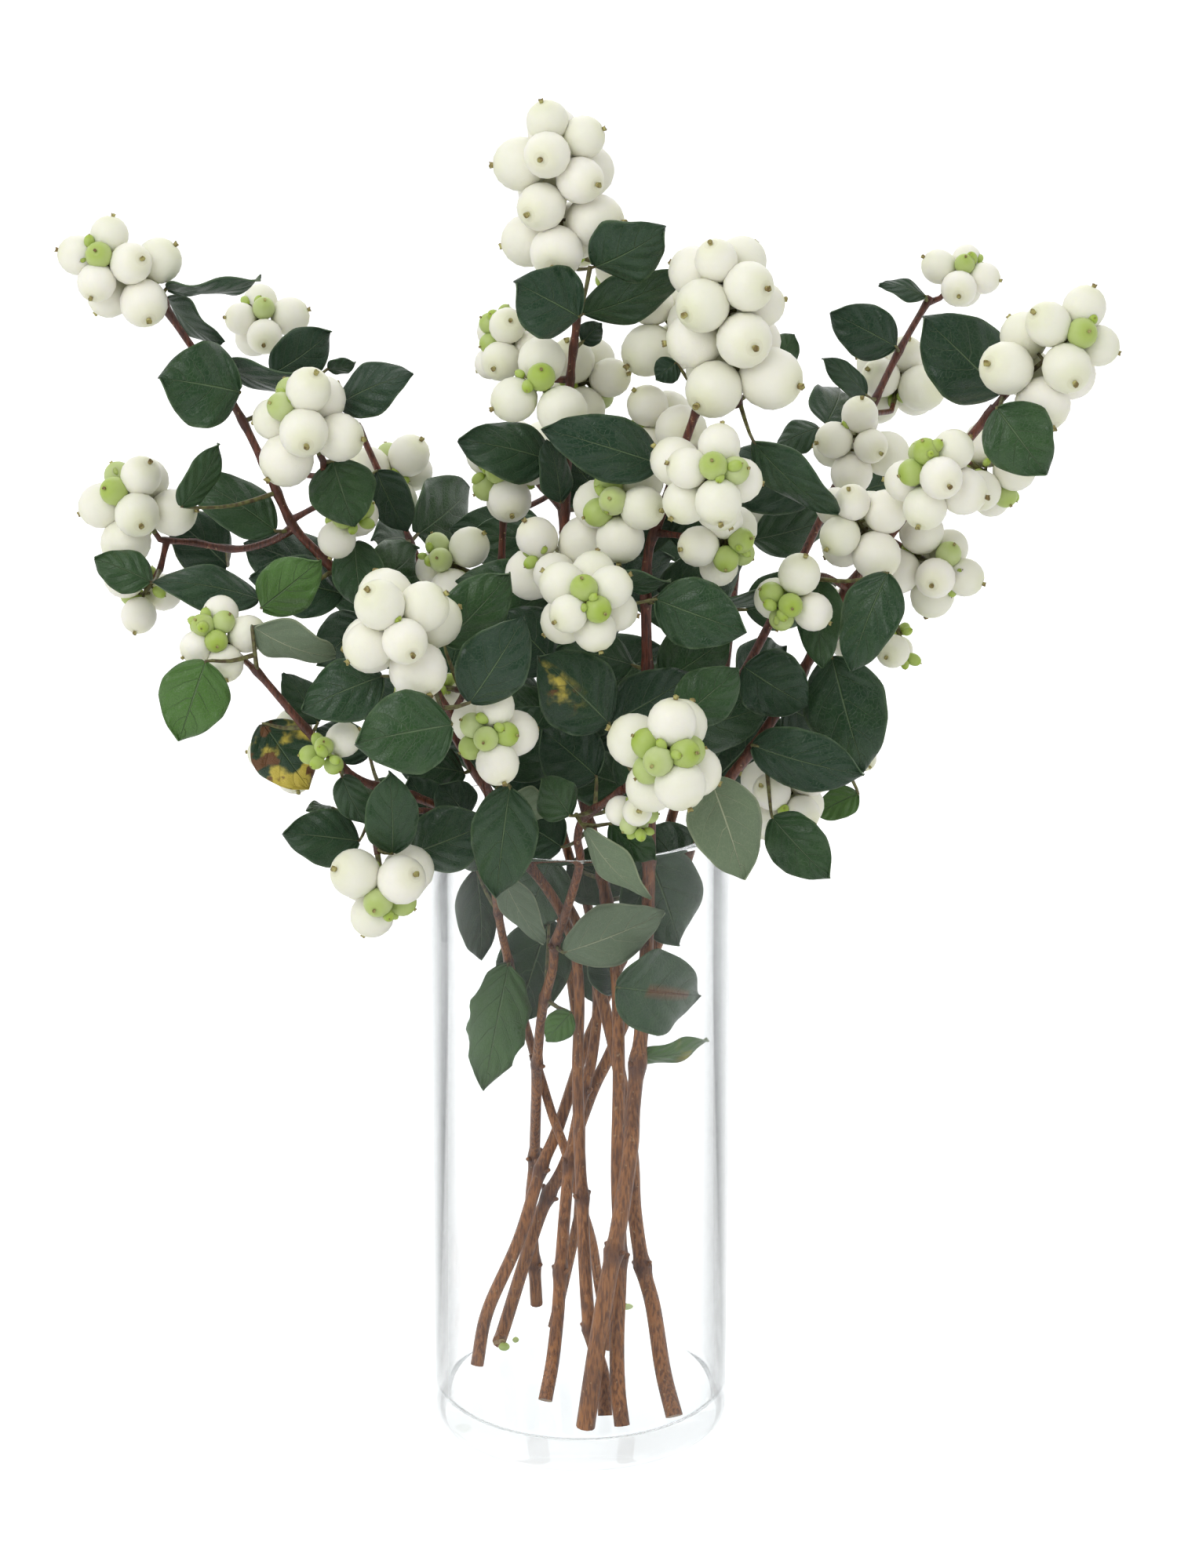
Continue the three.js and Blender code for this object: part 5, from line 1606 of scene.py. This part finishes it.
    def build(self, model: bpy.types.Object, palette: Palette) -> bpy.types.Object:
        """Model the bunch.

        Args:
            model: The berry that is copied.
            palette: The materials.

        Returns:
            The piece, which stands for the bunch's solid.
        """
        draw = Stream(BUNCH.seed + self.index)
        parts = []
        rods = [([self.end, self.foot, self.foot + self.axis * self.length], BUNCH.stalk_mm)]
        for i, (at, radius) in enumerate(zip(self.berries, self.radii)):
            along = min(max((at - self.foot) @ self.axis, 0), self.length)
            seat = self.foot + self.axis * along
            out = unit(at - seat)
            rods.append(([seat, at - out * radius * BUNCH.neck_end], BUNCH.neck_mm))
            wide, tall = radius * draw.between(*BUNCH.wide), radius * draw.between(*BUNCH.tall)
            berry = self.berry(model, at, out, (wide, wide, tall), draw)
            green = i >= self.count - self.green
            tag(berry.data, "unripe", draw.between(*(BUNCH.unripe if green else BUNCH.ripe)))
            parts.append(berry)
        for place, way in self.bud_spots(draw):
            size = draw.between(*BUNCH.bud_mm)
            rods.append(([place - way * (size + BUNCH.bud_stalk_mm), place], BUNCH.bud_neck_mm))
            parts.append(self.berry(model, place, way, (size, size, size * BUNCH.bud_tall), draw))
            tag(parts[-1].data, "unripe", 1)
        parts.append(tubes("stalks", rods, BUNCH.sides, palette.stalk))
        piece = joined(parts, self.name + "_berries")
        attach(piece, "root")
        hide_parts(self.name)
        return piece


class Stem:
    """A stem with its branches, twigs and leaves."""

    def __init__(self, plan: StemPlan) -> None:
        """Take up a plan; its wood is laid later."""
        self.plan = plan
        self.name = plan.name
        self.rods: list = []
        self.roots: list = []
        self.leaves: list = []

    def lay(self, room: Arrangement) -> None:
        """Lay the main rod from the foot on the vase's floor upwards."""
        plan = self.plan
        points = [EYE.place(spot) for spot in plan.route]
        if plan.foot:
            points.insert(0, self.footing(plan.foot, plan.thick / 2, points[0]))
        self.lay_rod(room, points, plan.thick, plan.thin, ROD.taper)

    def lay_rod(self, room: Arrangement, points: list, thick: float, thin: float, power: float) -> None:
        """Lay one rod of wood: a coarse one for the room test, a fine one for the mesh."""
        route = smooth_route(points, ROD.step)
        room.placed.add_rod(route, taper(route, thick, thin, power), self.name)
        fine = smooth_route(points, ROD.fine_step)
        self.rods.append((fine, taper(fine, thick, thin, power)))

    @staticmethod
    def footing(spot: Sequence[float], radius: float, above: np.ndarray) -> np.ndarray:
        """A cut foot on the vase's floor, raised so that its slanted edge stays clear.

        Args:
            spot: Across and down in points of the view.
            radius: Radius of the foot in mm.
            above: The next point of the stem in mm.

        Returns:
            Middle of the foot in mm.
        """
        slope = math.tan(EYE.slope(spot[1]))

        def on_floor(lift: float) -> np.ndarray:
            return EYE.place([*spot, (VASE.floor + lift - EYE.z) / slope + EYE.y])

        foot = on_floor(ROD.seat_gap)
        for _ in range(ROD.foot_rounds):
            lean = unit(above - foot)
            foot = on_floor(ROD.seat_gap + radius * math.hypot(lean[0], lean[1]))
        return foot

    def grow_twig(self, bunch: Bunch) -> None:
        """Add the twig that carries a bunch."""
        fine = smooth_route([*bunch.path, bunch.end], ROD.fine_step)
        thick, thin = 2 * ROD.twig_foot * ROD.fine_foot, 2 * ROD.fine_twig
        self.rods.append((fine, taper(fine, thick, thin, ROD.fine_taper)))
        self.roots.append(bunch.root)

    def seen_knots(self) -> list:
        """Numbers, along the main rod, of the points where knots are seen."""
        downs = np.array([EYE.down_of(point) for point in self.rods[0][0]])
        return [int(np.argmin(np.abs(downs - down))) for down in KNOTS.get(self.name, ())]

    def knots(self) -> list:
        """Places in mm where the stem thickens: seen knots, and wherever something grows from it."""
        return [self.rods[0][0][i] for i in self.seen_knots()] + self.roots

    def stubs(self) -> list:
        """Rods for the pair of bud stubs at each knot that is seen, each pair turned against the last."""
        route, radii = self.rods[0]
        first, step = ROD.stub_turns
        rods = []
        for count, i in enumerate(self.seen_knots()):
            along = unit(route[i + 1] - route[i - 1])
            side = turned(unit(np.cross(along, RIGHT)), along, (first + count * step) * math.pi)
            for way in (side, -side):
                foot = route[i] + way * radii[i] * ROD.stub_root
                end = route[i] + way * (radii[i] + ROD.stub) + along * ROD.stub_lift
                rods.append(([foot, (foot + end) / 2 - along * ROD.stub_bow, end], ROD.stub_radii))
        return rods

    def build(self, blade: bpy.types.Object, palette: Palette) -> list:
        """Model the wood and the leaves.

        Args:
            blade: The flat blade that leaves are bent from.
            palette: The materials.

        Returns:
            The pieces, which together stand for the stem's solid.
        """
        pieces = [self.build_wood(palette)]
        if self.leaves:
            pieces.append(self.build_leaves(blade, palette))
        for piece in pieces:
            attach(piece, "root")
            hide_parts(self.name)
        return pieces

    def build_wood(self, palette: Palette) -> bpy.types.Object:
        """The rods, thicker and darker at each knot, with a pale cut at the foot."""
        knots = np.array(self.knots())
        rods = []
        for points, radii in self.rods:
            line = np.array(points)
            near = np.linalg.norm(line[:, None, :] - knots[None, :, :], axis=2).min(axis=1)
            swollen = 1 + ROD.knot_swell * np.exp(-(near / ROD.knot_reach) ** 2)
            rods.append((points, np.array(radii) * swollen))
        rods += self.stubs()
        wood = joined([tubes("wood", rods, ROD.sides, palette.bark)], self.name + "_wood")
        mesh = wood.data
        at = np.array([vertex.co for vertex in mesh.vertices]) / MM
        gap = np.linalg.norm(at[:, None, :] - knots[None, :, :], axis=2)
        within = [self.rods[0][1][i] for i in self.seen_knots()] + [self.plan.thin / 2] * len(self.roots)
        beyond = np.maximum((gap - np.array(within)).min(axis=1), 0)
        tag(mesh, "ring", np.exp(-(beyond / ROD.ring_reach) ** 2))
        mesh.materials.append(palette.cut)
        foot, after = self.rods[0][0][0], self.rods[0][0][1]
        down = Vector(unit(foot - after))
        for face in mesh.polygons:
            close = (face.center / MM - Vector(foot)).length < ROD.cut_reach
            if close and face.normal.dot(down) > ROD.cut_facing:
                face.material_index = 1
        return wood

    def build_leaves(self, blade: bpy.types.Object, palette: Palette) -> bpy.types.Object:
        """The blades, given their thickness, and their stalks."""
        leaves = joined([leaf.build(blade) for leaf in self.leaves], self.name + "_leaves")
        thicken = leaves.modifiers.new("thickness", "SOLIDIFY")
        thicken.thickness = BLADE.thickness * MM
        thicken.offset = 0
        thicken.material_offset = 1
        bpy.ops.object.modifier_apply(modifier=thicken.name)
        stalks = []
        for leaf in self.leaves:
            knee = (leaf.root + leaf.base) / 2 - UP * STALK.sag * np.linalg.norm(leaf.base - leaf.root)
            lead = leaf.base + leaf.along * STALK.into_blade * leaf.length + leaf.face * STALK.above_blade
            line = smooth_route([leaf.root, knee, leaf.base, lead], STALK.step)
            stalks.append((line, taper(line, STALK.foot, STALK.tip, 1)))
        green = tubes("stalks", stalks, STALK.sides, palette.stalk)
        return joined([leaves, green], self.name + "_leaves")


class Bouquet:
    """All stems, bunches and leaves, placed in the order of the solids."""

    def __init__(self) -> None:
        """Place everything."""
        self.room = Arrangement()
        self.stems = {plan.name: Stem(plan) for plan in STEMS}
        self.bunches: list = []
        for stem in self.stems.values():
            stem.lay(self.room)
        for branch in BRANCHES:
            points = [EYE.place(spot) for spot in branch.route]
            self.stems[branch.stem].lay_rod(self.room, points, branch.thick, branch.thin, 1)
        for index, row in enumerate(BUNCHES):
            bunch = self.room.settle(lambda shift: Bunch(self.room, row, index, shift))
            if bunch:
                self.bunches.append(bunch)
                self.stems[bunch.stem].grow_twig(bunch)
        self.seed = BLADE.first_seed
        self.place_leaves()
        self.place_pairs()

    @staticmethod
    def build_fallen(model: bpy.types.Object, owner: str) -> bpy.types.Object:
        """Small green buds that fell off one stem and lie on the vase's floor."""
        draw = Stream(FALLEN_SEED)
        parts = []
        for spot, size in FALLEN:
            slope = math.tan(EYE.slope(spot[1]))
            height = VASE.floor + size[2]
            at = EYE.place([*spot, (height - EYE.z) / slope + EYE.y])
            parts.append(Bunch.berry(model, at, UP, size, draw))
            tag(parts[-1].data, "unripe", draw.between(*FALLEN_UNRIPE))
        piece = joined(parts, owner + "_fallen")
        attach(piece, "root")
        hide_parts(owner)
        return piece

    def keep(self, owner: str, make: Callable[[float], Leaf]) -> None:
        """Keep a leaf where it finds room."""
        leaf = self.room.settle(make)
        if leaf:
            self.stems[owner].leaves.append(leaf)
            self.stems[owner].roots.append(leaf.root)

    def place_leaves(self) -> None:
        """Leaves set where the view shows them."""
        for owner, rows in LEAVES.items():
            for number, (base, tip, width, roll) in enumerate(rows):
                self.seed += 1
                look = LOOKS.get((owner, number), LeafLook.PLAIN)

                def make(shift: float) -> Leaf:
                    start, end = EYE.place(shifted(base, shift)), EYE.place(shifted(tip, shift))
                    short = np.linalg.norm(end - start) < BLADE.short
                    margins = BLADE.pair_rows if short else BLADE.rows
                    return Leaf(self.room, owner, start, end, width, roll, self.seed, margins, look)

                self.keep(owner, make)

    def place_pairs(self) -> None:
        """Leaf pairs by rule that fill the heart and the back."""
        for owner, heights, turn in PAIRS:
            wood = self.room.wood_of(owner)
            for i, height in enumerate(heights):
                root = wood[int(np.argmin(np.abs(wood[:, 2] - height)))]
                for half in (0, 1):
                    self.seed += 1

                    def make(shift: float) -> Leaf:
                        angle = math.radians(
                            turn + BLADE.pair_step * (i % 2) + 180 * half + BLADE.pair_swing * shift)
                        out = unit(np.array([math.cos(angle), math.sin(angle), BLADE.pair_rise]))
                        base = root + out * BLADE.pair_stalk
                        length = BLADE.pair_length - BLADE.pair_shrink * abs(shift)
                        width = BLADE.pair_width * length / BLADE.pair_length
                        tip = root + out * (BLADE.pair_stalk + length)
                        return Leaf(self.room, owner, base, tip, width, BLADE.pair_roll,
                                    self.seed, BLADE.pair_rows, LeafLook.PLAIN)

                    self.keep(owner, make)


class Vase:
    """The clear glass cylinder."""

    def __init__(self, size: VaseSize) -> None:
        """Take the sizes."""
        self.size = size

    def build(self, palette: Palette) -> bpy.types.Object:
        """Model the vase from a cylinder: hollowed from the top, with rounded foot, rim and floor.

        Args:
            palette: The materials.

        Returns:
            The piece, which stands for the vase's solid.
        """
        size = self.size
        tall, wide = size.height * MM, size.radius * MM
        deselect()
        bpy.ops.mesh.primitive_cylinder_add(
            vertices=size.sides, radius=wide, depth=tall, location=(0, 0, tall / 2))
        bpy.ops.object.transform_apply(location=True, rotation=True, scale=True)
        vase = bpy.context.object
        bpy.ops.object.mode_set(mode="EDIT")
        pick("FACE", lambda face: face.calc_center_median().z > tall - MM)
        bpy.ops.mesh.inset(thickness=size.wall * MM)
        bpy.ops.mesh.extrude_region_move(
            TRANSFORM_OT_translate={"value": (0, 0, (size.floor - size.height) * MM)})
        bevels = (
            (0, wide, size.foot_round, size.foot_steps),
            (tall, wide, size.rim_round, size.rim_steps),
            (tall, wide - size.wall * MM, size.rim_round, size.rim_steps),
            (size.floor * MM, wide - size.wall * MM, size.floor_round, size.floor_steps),
        )
        for height, radius, width, segments in bevels:

            def on_ring(edge: bmesh.types.BMEdge) -> bool:
                offs = [(abs(end.co.z - height), abs(end.co.xy.length - radius)) for end in edge.verts]
                return all(off < size.slack * MM for pair in offs for off in pair)

            pick("EDGE", on_ring)
            bpy.ops.mesh.bevel(offset=width * MM, segments=segments, profile=0.5, affect="EDGES")
        bpy.ops.mesh.select_all(action="SELECT")
        bpy.ops.mesh.normals_make_consistent(inside=False)
        bpy.ops.object.mode_set(mode="OBJECT")
        vase.data.materials.append(palette.glass)
        piece = joined([vase], "vase_glass")
        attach(piece, "root")
        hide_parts("vase")
        return piece


@dataclass
class Studio:
    """Pale floor, soft light and the camera."""

    floor_size: float = 12.0
    floor_drop: float = 0.0004
    paper_glow: float = 0.42
    even_light: float = 0.62
    light_turn: tuple = (-0.14, 0.2, 0.26)
    lights: tuple = (
        ("key", (-0.9, -1.3, 1.5), 1.4, 15.0),
        ("fill", (1.3, -0.8, 0.9), 1.2, 2.5),
        ("back", (0.2, 1.4, 1.3), 1.6, 6.0),
    )
    aim: tuple = (0.0, 0.0, 0.2)
    dark_room: float = 0.05
    white_over: tuple = (-0.75, 0.1)
    least_light: float = 0.15

    @staticmethod
    def seen(w: Wiring) -> bpy.types.NodeSocket:
        """1 for what the camera sees straight or through glass, else 0."""
        path = w.add("ShaderNodeLightPath").outputs
        bounced = w.calc("ADD", path["Diffuse Depth"], path["Glossy Depth"])
        straight = w.calc("LESS_THAN", bounced, ANY_BOUNCE)
        through = w.calc("MULTIPLY", path["Is Transmission Ray"], straight)
        return w.calc("MAXIMUM", path["Is Camera Ray"], through)

    def build_world(self) -> None:
        """A white surround, dark only behind the viewer.

        Matt surfaces are lit more from above, behind and the left. Mirrored rays find white paper
        all round, and the dark room where they turn back to the viewer.
        """
        world = bpy.data.worlds.new("soft_white")
        world.use_nodes = True
        w = Wiring(world.node_tree)
        way = w.add("ShaderNodeTexCoord").outputs["Generated"]
        lean = w.add("ShaderNodeVectorMath", {0: way, 1: self.light_turn}, operation="DOT_PRODUCT")
        leaning = w.calc("ADD", lean.outputs["Value"], self.even_light)
        light = w.calc("MAXIMUM", leaning, self.least_light)
        back = w.add("ShaderNodeSeparateXYZ", {0: way}).outputs[1]
        white = w.ease(back, *self.white_over)
        mirrored = w.calc("MULTIPLY_ADD", white, 1 - self.dark_room, self.dark_room)
        matt = w.calc("GREATER_THAN", w.add("ShaderNodeLightPath").outputs["Diffuse Depth"], ANY_BOUNCE)
        found = w.calc("MULTIPLY_ADD", w.calc("SUBTRACT", light, mirrored), matt, mirrored)
        strength = w.calc("MAXIMUM", found, self.seen(w))
        background = world.node_tree.nodes["Background"]
        background.inputs["Color"].default_value = (1, 1, 1, 1)
        w.tree.links.new(strength, background.inputs["Strength"])
        bpy.context.scene.world = world

    def build(self) -> None:
        """Set up the floor, the light and the camera."""
        deselect()
        bpy.ops.mesh.primitive_plane_add(size=self.floor_size, location=(0, 0, -self.floor_drop))
        floor = bpy.context.object
        floor.name = "studio_floor"
        fixed = {"Base Color": (0.88, 0.88, 0.88, 1), "Roughness": 0.9, "Specular IOR Level": 0.1,
                 "Emission Color": (1, 1, 1, 1)}
        paper = new_finish("pale_paper", fixed, lambda w: {
            "Emission Strength": w.calc("MULTIPLY", self.seen(w), self.paper_glow)})
        floor.data.materials.append(paper)
        self.build_world()
        for name, spot, size, power in self.lights:
            bpy.ops.object.light_add(type="AREA", location=spot)
            light = bpy.context.object
            light.name = "light_" + name
            light.data.size = size
            light.data.energy = power
            light.rotation_euler = (Vector(self.aim) - Vector(spot)).to_track_quat("-Z", "Y").to_euler()
        bpy.ops.object.camera_add(
            location=(EYE.x * MM, EYE.y * MM, EYE.z * MM), rotation=(math.pi / 2 - EYE.pitch, 0, 0))
        camera = bpy.context.object
        camera.data.lens = EYE.focal * EYE.sensor / EYE.height
        camera.data.sensor_width = EYE.sensor
        bpy.context.scene.camera = camera
        bpy.context.scene.view_settings.view_transform = "Standard"


def report(piece: bpy.types.Object) -> None:
    """Log a piece's name and faces."""
    piece.data.calc_loop_triangles()
    LOG.info("%s: %d triangles", piece.name, len(piece.data.loop_triangles))


def main() -> None:
    """Build the arrangement and its studio."""
    logging.basicConfig(level=logging.INFO, format="%(message)s")
    palette = Palette.made()
    report(Vase(VASE).build(palette))
    bouquet = Bouquet()
    blade = LeafModel().build(palette)
    berry = BerryModel().build(palette)
    for stem in bouquet.stems.values():
        for piece in stem.build(blade, palette):
            report(piece)
    for bunch in bouquet.bunches:
        report(bunch.build(berry, palette))
    report(bouquet.build_fallen(berry, "stem_far_right"))
    for model in (blade, berry):
        bpy.data.objects.remove(model)
    leaves = sum(len(stem.leaves) for stem in bouquet.stems.values())
    LOG.info("bunches %d, leaves %d", len(bouquet.bunches), leaves)
    Studio().build()


if __name__ == "__main__":
    main()
